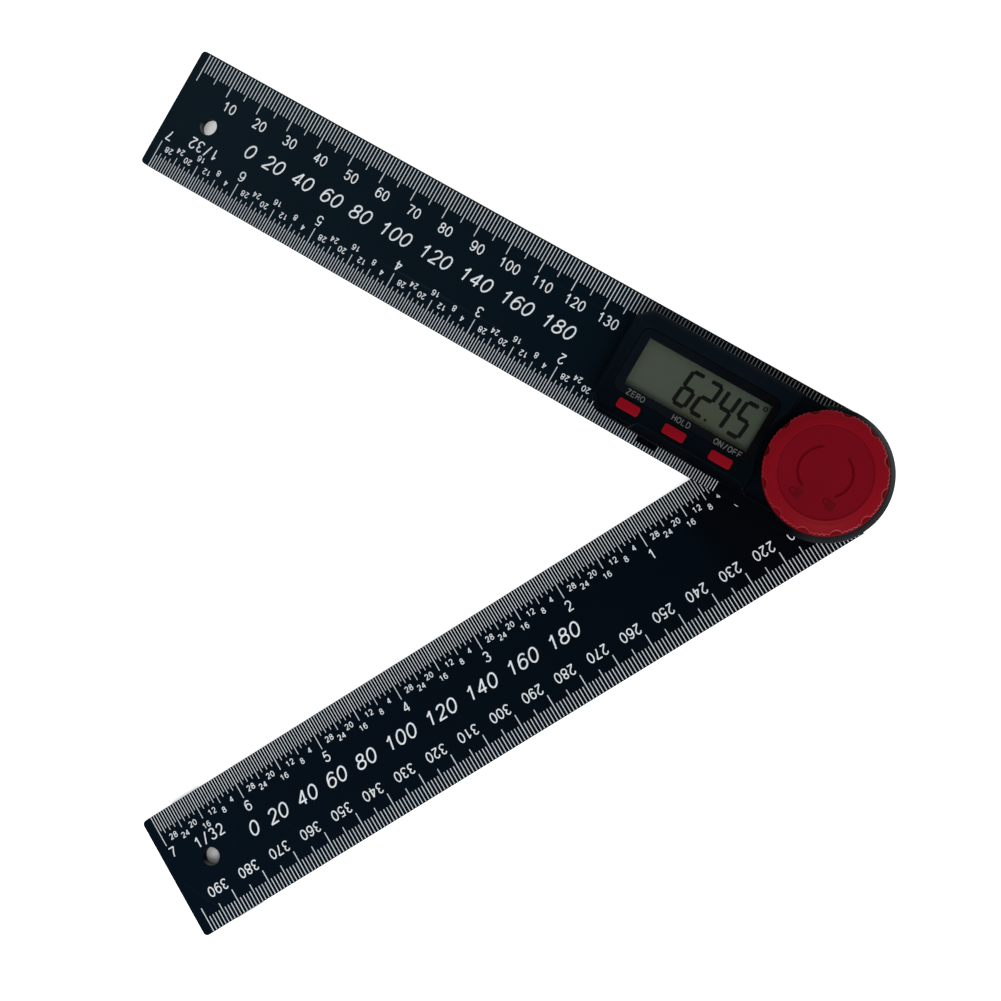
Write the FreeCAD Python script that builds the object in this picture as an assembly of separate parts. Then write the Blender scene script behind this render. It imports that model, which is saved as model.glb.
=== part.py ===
import FreeCAD, Part
import math
import os

os.makedirs("parts", exist_ok=True)

# Angle finder: two ruled arms that turn on one pivot, a display housing on the upper arm
# and a lock knob on the pivot.  Millimetres and degrees.  The origin is on the pivot's axis,
# at the underside of the lower arm.  +Z is up and the upper arm lies along -X.

# Arms
arm_reach = 202.75              # pivot to the far end
arm_width = 35.0
arm_thickness = 3.0
arm_gap = 0.5                   # between the two arms, filled by the friction washer
arm_angle = 62.45               # from the upper arm to the lower arm
arm_edge_chamfer = 0.3
arm_corner_radius = 1.2
arm_shoulder_step = 0.5         # from the straight edge in to the round end
arm_shoulder_x = 0.6            # where the straight edges stop
arm_head_radius = arm_width / 2 - arm_shoulder_step
hang_hole_radius = 2.4
hang_hole_inset = 12.45         # from the far end
hang_hole_x = -arm_reach + hang_hole_inset

# Pivot
journal_radius = 5.0
bush_wall = 1.5
flange_radius = 9.0
flange_thickness = 1.2
rotor_seat_radius = 4.0
thread_radius = 3.0
thread_flat = 2.5               # from the axis to each flat
shaft_top_gap = 0.4             # under the knob's cap
friction_washer_radius = 12.0
arm_play = 0.1                  # between the upper arm and the rotor
flange_screw_circle = 6.2
flange_screw_count = 3
flange_screw_radius = 1.0
flange_screw_head_radius = 1.9
flange_screw_head_depth = 0.9

# Display housing
housing_height = 7.5            # above the upper arm
housing_left = -60.8
housing_inset = 2.9             # from the arm's edges
housing_half_width = arm_width / 2 - housing_inset
housing_corner = 3.1            # size of the two cut corners
housing_edge_chamfer = 1.0
housing_wall = 1.6
housing_roof = 2.1
hub_inset = 0.3                 # from the arm's edges
hub_radius = arm_width / 2 - hub_inset
hub_height = 4.5                # above the upper arm
hub_edge_chamfer = 1.2
hub_roof = 1.4
hub_wall = 3.2
hub_bore_clearance = 0.4        # about the shaft's rotor seat
hub_bore_radius = rotor_seat_radius + hub_bore_clearance
platform_right_inset = 2.7      # from the hub's circle
platform_right = -hub_radius + platform_right_inset
side_tab_start = 15.5           # small tab on the inner side, from the housing's left end
side_tab_length = 5.3
side_tab_reach = 1.6
side_tab_height = 1.8
side_tab_left = housing_left + side_tab_start
thumb_bevel_width = 2.2         # wide bevel on the inner side, beside the keys
thumb_bevel_drop = 3.0
thumb_bevel_run_out = 0.9       # slant of its ends, each way
thumb_bevel_inset = 1.5         # from the platform's right end
thumb_bevel_left = side_tab_left - thumb_bevel_width
thumb_bevel_right = platform_right - thumb_bevel_inset

# Encoder
rotor_room_radius = hub_radius - hub_wall
rotor_clearance = 1.0
rotor_radius = rotor_room_radius - rotor_clearance
rotor_thickness = 1.2
clip_radius = 6.0
clip_thickness = 0.45

# Lens and display
lens_margin_left = 3.5          # lens to the housing's four sides
lens_margin_right = 3.0
lens_margin_bottom = 7.0
lens_margin_top = 4.3
lens_left = housing_left + lens_margin_left
lens_right = platform_right - lens_margin_right
lens_bottom = -housing_half_width + lens_margin_bottom
lens_top = housing_half_width - lens_margin_top
lens_corner_radius = 2.4
lens_thickness = 1.1
lens_recess = 0.3
lens_clearance = 0.1
border_left = 2.5               # printed border of the lens, round the clear window
border_right = 1.9
border_bottom = 2.4
border_top = 2.3
window_left = lens_left + border_left
window_right = lens_right - border_right
window_bottom = lens_bottom + border_bottom
window_top = lens_top - border_top
window_margin = 0.5             # opening beyond the visible window
glass_margin = 1.0              # display glass beyond the visible window
glass_thickness = 1.7
glass_gap = 0.05
zebra_width = 1.6
zebra_inset = 0.3
chip_radius = 3.4
chip_slope = 0.7                # how far its edge slopes in
chip_height = 0.6
chip_shift = 1.0                # from the cell's middle
chip_y = 1.4

# Buttons
button_margin_left = 6.75       # first button's middle from the lens's left edge
button_margin_right = 6.4       # last button's middle from the lens's right edge
button_margin_side = 4.6        # from the housing's inner side
button_first_x = lens_left + button_margin_left
button_last_x = lens_right - button_margin_right
button_middle_x = (button_first_x + button_last_x) / 2
button_x = {"zero": button_first_x, "hold": button_middle_x, "power": button_last_x}
button_y = -housing_half_width + button_margin_side
button_length = 6.15
button_width = 2.6
button_corner_radius = 0.6
button_proud = 0.6
button_clearance = 0.15
button_flange = 0.6             # lip beyond the button on every side
button_flange_thickness = 0.5
button_travel = 0.6
flange_pocket_clearance = 0.25
dome_base_radius = 2.2
dome_top_radius = 1.3
dome_wall = 0.45

# Battery
cell_shift = -0.6               # from the lens's middle
cell_x = (lens_left + lens_right) / 2 + cell_shift
chip_x = cell_x + chip_shift
cell_radius = 10.0
cell_height = 3.2
cell_clearance = 0.3
cover_radius = 12.0
cover_thickness = 1.2
cover_clearance = 0.1
cover_gap = 0.05
coin_slot_length = 14.0
coin_slot_width = 1.8
coin_slot_depth = 0.7
contact_strip = 0.25
contact_spring_length = 9.0
contact_spring_width = 2.4
clip_contact_width = 5.0

# Screws
housing_screw_radius = 0.8
housing_screw_head_radius = 1.7
housing_screw_head_depth = 0.9
housing_screw_reach = 3.6       # into the housing
screw_sink = 0.1                # head below the face
screw_clearance = 0.15
boss_radius = 2.0
boss_inset_x = 2.5              # from the housing's left end
boss_inset_y = 6.1              # from its sides
boss_left_x = housing_left + boss_inset_x
boss_left_y = housing_half_width - boss_inset_y
hub_screw_inset = 1.5           # from the hub's circle
hub_screw_radius = hub_radius - hub_screw_inset
hub_screw_angle = 105.0         # beside the pivot, where the arm has its full width

# Circuit board
board_gap = 0.5                 # rotor to board
board_thickness = 1.0
board_clearance = 0.4           # to the housing's walls
board_end_clearance = 1.4       # to the wall beside the hub
board_boss_gap = 0.3
board_corner_cut = 1.0
board_left = boss_left_x + boss_radius + board_boss_gap
board_right = platform_right - housing_wall - board_end_clearance
board_half_width = housing_half_width - housing_wall - board_clearance
board_hole_clearance = 0.6      # about the rotor's clip
board_ring_width = 1.9
board_hole_radius = clip_radius + board_hole_clearance
board_neck_half_width = board_hole_radius + board_ring_width
board_neck_end = math.sqrt((rotor_room_radius - board_gap) ** 2 - board_neck_half_width ** 2)
board_screw_radius = 0.7
board_screw_head_radius = 1.35
board_screw_head_height = 0.3
board_screw_reach = 2.2
standoff_radius = 1.6
standoff_inset_low = 1.7        # from the board's two long edges
standoff_inset_high = 1.4
standoff_shift = 3.0            # last one, clear of the battery clip
standoff_low_y = -board_half_width + standoff_inset_low
standoff_high_y = board_half_width - standoff_inset_high
standoffs = [((button_first_x + button_middle_x) / 2, standoff_low_y),
             ((button_middle_x + button_last_x) / 2, standoff_low_y),
             (button_first_x, standoff_high_y),
             (button_last_x - standoff_shift, standoff_high_y)]

# Lock knob
knob_inset = 1.8                # from the hub's circle
knob_radius = hub_radius - knob_inset
knob_foot_lip = 0.2
knob_foot_radius = knob_radius + knob_foot_lip
knob_foot_height = 1.0
knob_height = 6.0
knob_gap = 0.5                  # above the hub when released
knob_shoulder_width = 3.5
knob_shoulder_drop = 1.15
knob_crest_radius = knob_radius - knob_shoulder_width
knob_crest_width = 0.4          # ring round the cap
knob_recess_clearance = 0.5
knob_bay_clearance = 1.1
knob_bay_radius = knob_foot_radius + knob_bay_clearance     # hollow in the platform about the knob
knob_bay_wall = 1.2             # between that hollow and the display's room
scallop_count = 12
scallop_radius = 1.9
scallop_depth = 0.9
scallop_phase = 9.5
cap_radius = knob_crest_radius - knob_crest_width
cap_thickness = 0.7
cap_sunk = 0.3                  # below the knob's crest
insert_across_flats = 10.0
insert_sides = 6
insert_height = 3.6
thrust_washer_radius = 8.5
thrust_washer_thickness = 1.0
clamp_gap = 0.28                # thrust washer above the hub when released
flat_overrun = 0.3              # flats on the shaft beyond the washer, for its travel

fit = 0.04                      # radial running clearance
press = 0.02                    # radial clearance of a pressed or glued piece
overcut = 1.0                   # how far a cutting tool passes a face
small_sides = 8                 # flats that stand for the round of small screws, holes and posts

# Levels above the origin
upper_bottom = arm_thickness + arm_gap
upper_top = upper_bottom + arm_thickness
flange_bottom = arm_thickness - flange_thickness
rotor_bottom = upper_top + arm_play
rotor_top = rotor_bottom + rotor_thickness
board_bottom = rotor_top + board_gap
board_top = board_bottom + board_thickness
housing_top = upper_top + housing_height
roof_under = housing_top - housing_roof
hub_top = upper_top + hub_height
hub_roof_under = hub_top - hub_roof
lens_top_z = housing_top - lens_recess
lens_bottom_z = lens_top_z - lens_thickness
glass_top = roof_under - glass_gap
glass_bottom = glass_top - glass_thickness
cover_top = upper_bottom + cover_thickness
cell_bottom = cover_top + cover_gap
cell_top = cell_bottom + cell_height
washer_bottom = hub_top + clamp_gap
washer_top = washer_bottom + thrust_washer_thickness
knob_bottom = hub_top + knob_gap
knob_top = knob_bottom + knob_height
cap_top = knob_top - cap_sunk
cap_bottom = cap_top - cap_thickness
insert_top = washer_top + insert_height
insert_radius = insert_across_flats / 2 / math.cos(math.pi / insert_sides)
button_top = housing_top + button_proud
button_flange_bottom = roof_under - glass_gap
button_flange_top = button_flange_bottom + button_flange_thickness


def vector(x, y, z=0.0):
    return FreeCAD.Vector(x, y, z)


def disc(radius, low, high, x=0.0, y=0.0):
    return Part.makeCylinder(radius, high - low, vector(x, y, low))


def ring(inner, outer, low, high, x=0.0, y=0.0):
    return disc(outer, low, high, x, y).cut(disc(inner, low - overcut, high + overcut, x, y))


def block(left, right, front, back, low, high):
    return Part.makeBox(right - left, back - front, high - low, vector(left, front, low))


def upright_edges(shape):
    """Edges that run straight up."""
    found = []
    for edge in shape.Edges:
        if isinstance(edge.Curve, Part.Line) and abs(abs(edge.Curve.Direction.z) - 1.0) < 1e-6:
            found.append(edge)
    return found


def rounded_block(left, right, front, back, low, high, radius):
    body = block(left, right, front, back, low, high)
    return body.makeFillet(radius, upright_edges(body))


def edges_at(shape, level):
    """Edges that lie wholly in the level plane z = level."""
    return [edge for edge in shape.Edges
            if abs(edge.BoundBox.ZMin - level) < 1e-4 and abs(edge.BoundBox.ZMax - level) < 1e-4]


def turned(profile):
    """Solid of revolution about the pivot's axis from (radius, height) points."""
    points = [vector(r, 0.0, z) for r, z in profile]
    face = Part.Face(Part.makePolygon(points + points[:1]))
    return face.revolve(vector(0, 0, 0), vector(0, 0, 1), 360)


def faceted(low_radius, high_radius, low, high, x=0.0, y=0.0, sides=small_sides):
    """Many-sided prism or frustum: the plain form of what is small, round and repeated."""
    rims = []
    for radius, level in ((low_radius, low), (high_radius, high)):
        rims.append([vector(x, y, level) + vector(*polar(radius, 360.0 / sides * i)) for i in range(sides)])
    lower, upper = rims
    outlines = [lower, upper]
    for i in range(sides):
        outlines.append([lower[i - 1], lower[i], upper[i], upper[i - 1]])
    return Part.Solid(Part.Shell([Part.Face(Part.makePolygon(points + points[:1])) for points in outlines]))


def post(radius, low, high, x=0.0, y=0.0):
    return faceted(radius, radius, low, high, x, y)


def plate(outline, low, high):
    """Prism over a closed outline of straight edges and arcs."""
    face = Part.Face(Part.Wire(outline))
    face.translate(vector(0, 0, low))
    return face.extrude(vector(0, 0, high - low))


def line(start, end):
    return Part.LineSegment(vector(*start), vector(*end)).toShape()


def polar(radius, angle):
    return (radius * math.cos(math.radians(angle)), radius * math.sin(math.radians(angle)))


def around_pivot(shape, angle):
    turned_shape = shape.copy()
    turned_shape.rotate(vector(0, 0, 0), vector(0, 0, 1), angle)
    return turned_shape


def on_lower_arm(shape):
    """Turns a piece from the -X direction to the lower arm's own direction."""
    return around_pivot(shape, arm_angle)


def joined(first, *others):
    body = first
    for other in others:
        body = body.fuse(other)
    return body.removeSplitter()


def save(name, shape):
    shape.exportStep("parts/" + name + ".step")


# ---------------------------------------------------------------- arms

def arm_outline():
    """Straight blade with a stepped shoulder and a round head about the pivot."""
    half = arm_width / 2
    head_y = math.sqrt(arm_head_radius ** 2 - arm_shoulder_x ** 2)
    head = Part.Arc(vector(arm_shoulder_x, -head_y), vector(arm_head_radius, 0),
                    vector(arm_shoulder_x, head_y)).toShape()
    return [line((-arm_reach, -half), (arm_shoulder_x, -half)),
            line((arm_shoulder_x, -half), (arm_shoulder_x, -head_y)),
            head,
            line((arm_shoulder_x, head_y), (arm_shoulder_x, half)),
            line((arm_shoulder_x, half), (-arm_reach, half)),
            line((-arm_reach, half), (-arm_reach, -half))]


def arm_blade(low):
    blade = plate(arm_outline(), low, low + arm_thickness)
    far_corners = [edge for edge in upright_edges(blade) if edge.BoundBox.XMax < -arm_reach + overcut]
    blade = blade.makeFillet(arm_corner_radius, far_corners)
    blade = blade.makeChamfer(arm_edge_chamfer, edges_at(blade, low + arm_thickness))
    return blade.cut(disc(hang_hole_radius, low - overcut, low + arm_thickness + overcut, hang_hole_x))


def housing_screw_places():
    """Two at the far end and two in the hub's wall."""
    places = []
    for side in (-1, 1):
        places.append((boss_left_x, side * boss_left_y))
        places.append(polar(hub_screw_radius, side * hub_screw_angle))
    return places


def countersink(x, y, face_z, radius, head_radius, head_depth, through):
    """Cutting tool for a screw that is driven upwards from the face at face_z."""
    head_top = face_z + screw_sink + head_depth
    tool = post(head_radius + screw_clearance, face_z - overcut, face_z + screw_sink, x, y)
    tool = tool.fuse(faceted(head_radius + screw_clearance, radius + screw_clearance,
                             face_z + screw_sink, head_top, x, y))
    return tool.fuse(post(radius + screw_clearance, head_top, through, x, y))


def make_upper_blade():
    blade = arm_blade(upper_bottom)
    bush_bore = journal_radius + fit + bush_wall + press
    blade = blade.cut(disc(bush_bore, upper_bottom - overcut, upper_top + overcut))
    cover_seat = disc(cover_radius + cover_clearance, upper_bottom - overcut, cell_bottom, cell_x)
    cell_hole = disc(cell_radius + cell_clearance, upper_bottom - overcut, upper_top + overcut, cell_x)
    blade = blade.cut(cover_seat.fuse(cell_hole))
    for x, y in housing_screw_places():
        blade = blade.cut(countersink(x, y, upper_bottom, housing_screw_radius,
                                      housing_screw_head_radius, housing_screw_head_depth,
                                      upper_top + overcut))
    return blade


def flange_screw_places():
    return [polar(flange_screw_circle, 360.0 / flange_screw_count * i + 90.0)
            for i in range(flange_screw_count)]


def make_lower_blade():
    """The same blade, with a pocket for the shaft's flange and its screws from below."""
    blade = arm_blade(0.0)
    blade = blade.cut(disc(flange_radius + press, flange_bottom, arm_thickness + overcut))
    for x, y in flange_screw_places():
        blade = blade.cut(countersink(x, y, 0.0, flange_screw_radius, flange_screw_head_radius,
                                      flange_screw_head_depth, flange_bottom + overcut))
    return on_lower_arm(blade)


# ---------------------------------------------------------------- pivot

def make_pivot_shaft():
    """Flange, journal for the upper arm, seat for the rotor and a thread with two flats for the washer."""
    thread_top = cap_bottom - shaft_top_gap
    seat_top = rotor_top + clip_thickness + board_gap
    shaft = turned([(0, flange_bottom), (flange_radius, flange_bottom), (flange_radius, arm_thickness),
                    (journal_radius, arm_thickness), (journal_radius, rotor_bottom),
                    (rotor_seat_radius, rotor_bottom), (rotor_seat_radius, seat_top),
                    (thread_radius, seat_top), (thread_radius, thread_top), (0, thread_top)])
    for side in (-1, 1):
        inner = side * thread_flat
        outer = side * (thread_radius + overcut)
        shaft = shaft.cut(block(-thread_radius - overcut, thread_radius + overcut, min(inner, outer),
                                max(inner, outer), seat_top, washer_top + flat_overrun))
    for x, y in flange_screw_places():
        shaft = shaft.cut(post(flange_screw_radius + press, flange_bottom - overcut,
                               arm_thickness + overcut, x, y))
    return on_lower_arm(shaft)


def make_pivot_bush():
    return ring(journal_radius + fit, journal_radius + fit + bush_wall, upper_bottom, upper_top)


def make_friction_washer():
    return ring(journal_radius + fit, friction_washer_radius, arm_thickness, upper_bottom)


def make_encoder_rotor():
    """Flat disc that is pressed on the shaft's seat and carries the coded track."""
    rotor = ring(rotor_seat_radius + press, rotor_radius, rotor_bottom, rotor_top)
    return on_lower_arm(rotor)


def make_rotor_clip():
    """Push-on ring that grips the shaft's seat and holds the rotor and the upper arm down."""
    return ring(rotor_seat_radius + press, clip_radius, rotor_top, rotor_top + clip_thickness)


def countersunk_screw(x, y, face_z, radius, head_radius, head_depth, top):
    head_low = face_z + screw_sink
    screw = faceted(head_radius, radius, head_low, head_low + head_depth, x, y)
    return joined(screw, post(radius, head_low + head_depth, top, x, y))


def make_flange_screws():
    screws = [countersunk_screw(x, y, 0.0, flange_screw_radius, flange_screw_head_radius,
                                flange_screw_head_depth, arm_thickness - screw_sink)
              for x, y in flange_screw_places()]
    return on_lower_arm(Part.makeCompound(screws))


# ---------------------------------------------------------------- display housing

def housing_outline():
    """Long body with two cut corners that runs into the round hub."""
    half = housing_half_width
    join_x = -math.sqrt(hub_radius ** 2 - half ** 2)
    cut_x = housing_left + housing_corner
    cut_y = half - housing_corner
    hub = Part.Arc(vector(join_x, -half), vector(hub_radius, 0), vector(join_x, half)).toShape()
    return [line((cut_x, -half), (join_x, -half)),
            hub,
            line((join_x, half), (cut_x, half)),
            line((cut_x, half), (housing_left, cut_y)),
            line((housing_left, cut_y), (housing_left, -cut_y)),
            line((housing_left, -cut_y), (cut_x, -half))]


def platform_outline():
    """Raised display platform: its right end is hollowed about the knob."""
    half = housing_half_width
    cut_x = housing_left + housing_corner
    cut_y = half - housing_corner
    bay_y = math.sqrt(knob_bay_radius ** 2 - platform_right ** 2)
    bay = Part.Arc(vector(platform_right, -bay_y), vector(-knob_bay_radius, 0),
                   vector(platform_right, bay_y)).toShape()
    return [line((cut_x, -half), (platform_right, -half)),
            line((platform_right, -half), (platform_right, -bay_y)),
            bay,
            line((platform_right, bay_y), (platform_right, half)),
            line((platform_right, half), (cut_x, half)),
            line((cut_x, half), (housing_left, cut_y)),
            line((housing_left, cut_y), (housing_left, -cut_y)),
            line((housing_left, -cut_y), (cut_x, -half))]


def housing_shell():
    """Outer skin with sloped top edges on the hub and on the platform."""
    lower = plate(housing_outline(), upper_top, hub_top)
    hub_rim = [edge for edge in edges_at(lower, hub_top) if edge.BoundBox.XMax > 0]
    lower = lower.makeChamfer(hub_edge_chamfer, hub_rim)
    upper = plate(platform_outline(), upper_top, housing_top)
    upper = upper.makeChamfer(housing_edge_chamfer, edges_at(upper, housing_top))
    tab = block(side_tab_left, side_tab_left + side_tab_length, -housing_half_width - side_tab_reach,
                -housing_half_width + overcut, upper_top, upper_top + side_tab_height)
    return joined(lower, upper.cut(thumb_bevel()), tab)


def thumb_bevel():
    """Cutting tool for the wide bevel on the inner side, whose two ends run out at a slant."""
    slope = thumb_bevel_width / thumb_bevel_drop
    above = housing_top + overcut
    below = housing_top - thumb_bevel_drop - overcut
    inner_y = -housing_half_width + thumb_bevel_width + overcut * slope
    outer_y = -housing_half_width - overcut * slope
    left = thumb_bevel_left - 2 * overcut
    section = [vector(left, inner_y, above), vector(left, outer_y, below), vector(left, outer_y, above)]
    length = thumb_bevel_right - thumb_bevel_left + 4 * overcut
    wedge = Part.Face(Part.makePolygon(section + section[:1])).extrude(vector(length, 0, 0))
    run_out = thumb_bevel_run_out * (inner_y - outer_y) / thumb_bevel_width
    plan = [(thumb_bevel_left + run_out, inner_y), (thumb_bevel_right - run_out, inner_y),
            (thumb_bevel_right + run_out, outer_y), (thumb_bevel_left - run_out, outer_y)]
    sides = [line(plan[i - 1], plan[i]) for i in range(len(plan))]
    return wedge.common(plate(sides, below, above))


def housing_room():
    """Hollow for the board and the display, and the round room for the rotor."""
    half = housing_half_width - housing_wall
    left = housing_left + housing_wall
    right = -knob_bay_radius - knob_bay_wall
    body = block(left, right, -half, half, upper_top - overcut, roof_under)
    body = body.makeChamfer(housing_corner - housing_wall / 2,
                            [edge for edge in upright_edges(body) if edge.BoundBox.XMax < left + overcut])
    body = body.fuse(block(right - overcut, platform_right - housing_wall, -half, half, upper_top - overcut,
                           hub_roof_under))
    neck = block(platform_right - housing_wall - overcut, 0, -board_neck_half_width - housing_wall / 2,
                 board_neck_half_width + housing_wall / 2, upper_top - overcut, hub_roof_under)
    return body, neck.fuse(disc(rotor_room_radius, upper_top - overcut, hub_roof_under))


def lens_pocket():
    margin = lens_clearance
    pocket = rounded_block(lens_left - margin, lens_right + margin, lens_bottom - margin, lens_top + margin,
                           lens_bottom_z, housing_top + overcut, lens_corner_radius + margin)
    window = block(window_left - window_margin, window_right + window_margin, window_bottom - window_margin,
                   window_top + window_margin, roof_under - overcut, lens_bottom_z + overcut)
    return pocket.fuse(window)


def button_holes():
    """Openings in the roof, each with a wider pocket below for the button's lip."""
    tools = []
    for x in button_x.values():
        reach_x = button_length / 2 + button_clearance
        reach_y = button_width / 2 + button_clearance
        lip = button_flange + flange_pocket_clearance - button_clearance
        tools.append(rounded_block(x - reach_x, x + reach_x, button_y - reach_y, button_y + reach_y,
                                   roof_under - overcut, housing_top + overcut,
                                   button_corner_radius + button_clearance))
        tools.append(block(x - reach_x - lip, x + reach_x + lip, button_y - reach_y - lip,
                           button_y + reach_y + lip, roof_under - overcut, button_flange_top + glass_gap))
    return tools


def make_display_housing():
    shell = housing_shell()
    body_room, hub_room = housing_room()
    bosses = [post(boss_radius, upper_top, roof_under, boss_left_x, side * boss_left_y) for side in (-1, 1)]
    standing = [post(standoff_radius, board_top, roof_under, x, y) for x, y in standoffs]
    shell = shell.cut(body_room).cut(hub_room)
    shell = joined(shell, *(bosses + standing))
    shell = shell.cut(disc(hub_bore_radius, hub_roof_under - overcut, hub_top + overcut))
    shell = shell.cut(lens_pocket())
    for tool in button_holes():
        shell = shell.cut(tool)
    for x, y in housing_screw_places():
        shell = shell.cut(post(housing_screw_radius + press, upper_top - overcut,
                               upper_top + housing_screw_reach + screw_clearance, x, y))
    for x, y in standoffs:
        shell = shell.cut(post(board_screw_radius + press, board_top - overcut,
                               board_top + board_screw_reach + screw_clearance, x, y))
    return shell


def make_housing_screws():
    return Part.makeCompound([countersunk_screw(x, y, upper_bottom, housing_screw_radius,
                                                housing_screw_head_radius, housing_screw_head_depth,
                                                upper_top + housing_screw_reach)
                              for x, y in housing_screw_places()])


def make_display_lens():
    return rounded_block(lens_left, lens_right, lens_bottom, lens_top, lens_bottom_z, lens_top_z,
                         lens_corner_radius)


def make_lcd_panel():
    return block(window_left - glass_margin, window_right + glass_margin, window_bottom - glass_margin,
                 window_top + glass_margin, glass_bottom, glass_top)


def make_zebra_strips():
    """Two rubber strips that carry the display's contacts down to the board."""
    left = window_left - glass_margin + zebra_inset
    right = window_right + glass_margin - zebra_inset
    low_edge = window_bottom - glass_margin + zebra_inset
    high_edge = window_top + glass_margin - zebra_inset
    return Part.makeCompound([block(left, right, low_edge, low_edge + zebra_width, board_top, glass_bottom),
                              block(left, right, high_edge - zebra_width, high_edge, board_top,
                                    glass_bottom)])


# ---------------------------------------------------------------- electronics

def make_circuit_board():
    """Rectangle under the display, with a neck that reaches round the shaft and reads the rotor."""
    body = block(board_left, board_right, -board_half_width, board_half_width, board_bottom, board_top)
    body = body.makeChamfer(board_corner_cut, upright_edges(body))
    neck = block(board_right - overcut, board_neck_end, -board_neck_half_width, board_neck_half_width,
                 board_bottom, board_top)
    board = joined(body, neck).cut(disc(board_hole_radius, board_bottom - overcut, board_top + overcut))
    for x, y in standoffs:
        board = board.cut(post(board_screw_radius + screw_clearance, board_bottom - overcut,
                               board_top + overcut, x, y))
    return board


def make_board_screws():
    screws = []
    for x, y in standoffs:
        head = post(board_screw_head_radius, board_bottom - board_screw_head_height, board_bottom, x, y)
        screws.append(joined(head, post(board_screw_radius, board_bottom, board_top + board_screw_reach,
                                        x, y)))
    return Part.makeCompound(screws)


def make_controller_chip():
    """Low drop of black resin over the chip."""
    return faceted(chip_radius, chip_radius - chip_slope, board_top, board_top + chip_height, chip_x, chip_y)


def make_battery_cell():
    return disc(cell_radius, cell_bottom, cell_top, cell_x)


def make_battery_spring():
    """Leaf under the board that bears on the cell's upper face."""
    rise = board_bottom - cell_top
    pad = block(cell_x - contact_spring_length / 2, cell_x, -contact_spring_width / 2,
                contact_spring_width / 2, board_bottom - min(contact_strip, rise / 2), board_bottom)
    foot = block(cell_x - contact_strip, cell_x + contact_spring_length / 2, -contact_spring_width / 2,
                 contact_spring_width / 2, cell_top, cell_top + min(contact_strip, rise / 2))
    link = block(cell_x - contact_strip, cell_x, -contact_spring_width / 2, contact_spring_width / 2,
                 cell_top, board_bottom)
    return joined(pad, link, foot)


def make_battery_clip():
    """Upright strip from the board that touches the side of the cell."""
    inner = cell_radius + press
    arc = ring(inner, inner + contact_strip, upper_top + screw_clearance, board_bottom, cell_x)
    window = block(cell_x, cell_x + cell_radius + overcut, -clip_contact_width / 2, clip_contact_width / 2,
                   upper_top, board_bottom)
    return arc.common(window)


def make_battery_cover():
    """Flush round cover with a coin slot in its outer face."""
    cover = disc(cover_radius, upper_bottom, cover_top, cell_x)
    return cover.cut(block(cell_x - coin_slot_length / 2, cell_x + coin_slot_length / 2,
                           -coin_slot_width / 2, coin_slot_width / 2, upper_bottom - overcut,
                           upper_bottom + coin_slot_depth))


# ---------------------------------------------------------------- buttons

def make_button(x):
    """Key with round corners and a lip that keeps it under the roof."""
    key = rounded_block(x - button_length / 2, x + button_length / 2, button_y - button_width / 2,
                        button_y + button_width / 2, button_flange_bottom, button_top,
                        button_corner_radius)
    lip = block(x - button_length / 2 - button_flange, x + button_length / 2 + button_flange,
                button_y - button_width / 2 - button_flange, button_y + button_width / 2 + button_flange,
                button_flange_bottom, button_flange_top)
    return joined(key, lip)


def make_dome(x):
    """Rubber dome between the board and the key."""
    low, high = board_top, button_flange_bottom
    outside = faceted(dome_base_radius, dome_top_radius, low, high, x, button_y)
    inside = faceted(dome_base_radius - dome_wall, dome_top_radius - dome_wall, low, high - dome_wall,
                     x, button_y)
    return outside.cut(inside)


# ---------------------------------------------------------------- lock knob

def knob_outline():
    """Round grip edge with scallops, all as arcs."""
    distance = knob_radius - scallop_depth + scallop_radius
    cosine = (distance ** 2 + knob_radius ** 2 - scallop_radius ** 2) / (2 * distance * knob_radius)
    half = math.degrees(math.acos(cosine))
    pitch = 360.0 / scallop_count
    edges = []
    for i in range(scallop_count):
        angle = scallop_phase + i * pitch
        start = vector(*polar(knob_radius, angle - half))
        bottom = vector(*polar(knob_radius - scallop_depth, angle))
        end = vector(*polar(knob_radius, angle + half))
        edges.append(Part.Arc(start, bottom, end).toShape())
        land_middle = vector(*polar(knob_radius, angle + pitch / 2))
        edges.append(Part.Arc(end, land_middle, vector(*polar(knob_radius, angle + pitch - half))).toShape())
    return edges


def make_lock_knob():
    """Scalloped grip on a plain round foot, with a sloped shoulder and a sunk seat for the cap."""
    foot_top = knob_bottom + knob_foot_height
    grip = plate(knob_outline(), knob_bottom, knob_top)
    crown = turned([(0, knob_bottom), (knob_radius + overcut, knob_bottom),
                    (knob_radius + overcut, knob_top - knob_shoulder_drop),
                    (knob_radius, knob_top - knob_shoulder_drop), (knob_crest_radius, knob_top),
                    (0, knob_top)])
    knob = joined(grip.common(crown), disc(knob_foot_radius, knob_bottom, foot_top))
    knob = knob.cut(disc(thrust_washer_radius + knob_recess_clearance, knob_bottom - overcut, washer_top))
    knob = knob.cut(hexagon(insert_radius + press, knob_bottom - overcut, knob_top + overcut))
    return knob.cut(disc(cap_radius + press, cap_bottom, knob_top + overcut))


def hexagon(radius, low, high):
    return faceted(radius, radius, low, high, sides=insert_sides)


def make_knob_insert():
    """Hexagonal nut moulded into the knob."""
    bore = disc(thread_radius + fit, washer_top - overcut, insert_top + overcut)
    return hexagon(insert_radius, washer_top, insert_top).cut(bore)


def make_knob_cap():
    return disc(cap_radius, cap_bottom, cap_top)


def make_thrust_washer():
    """Washer with a two-flat hole, so that it slides on the shaft without turning."""
    washer = disc(thrust_washer_radius, washer_bottom, washer_top)
    hole = disc(thread_radius + fit, washer_bottom - overcut, washer_top + overcut)
    flats = block(-thread_radius - overcut, thread_radius + overcut, -thread_flat - fit, thread_flat + fit,
                  washer_bottom - overcut, washer_top + overcut)
    return on_lower_arm(washer.cut(hole.common(flats)))


# ---------------------------------------------------------------- all pieces

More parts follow.
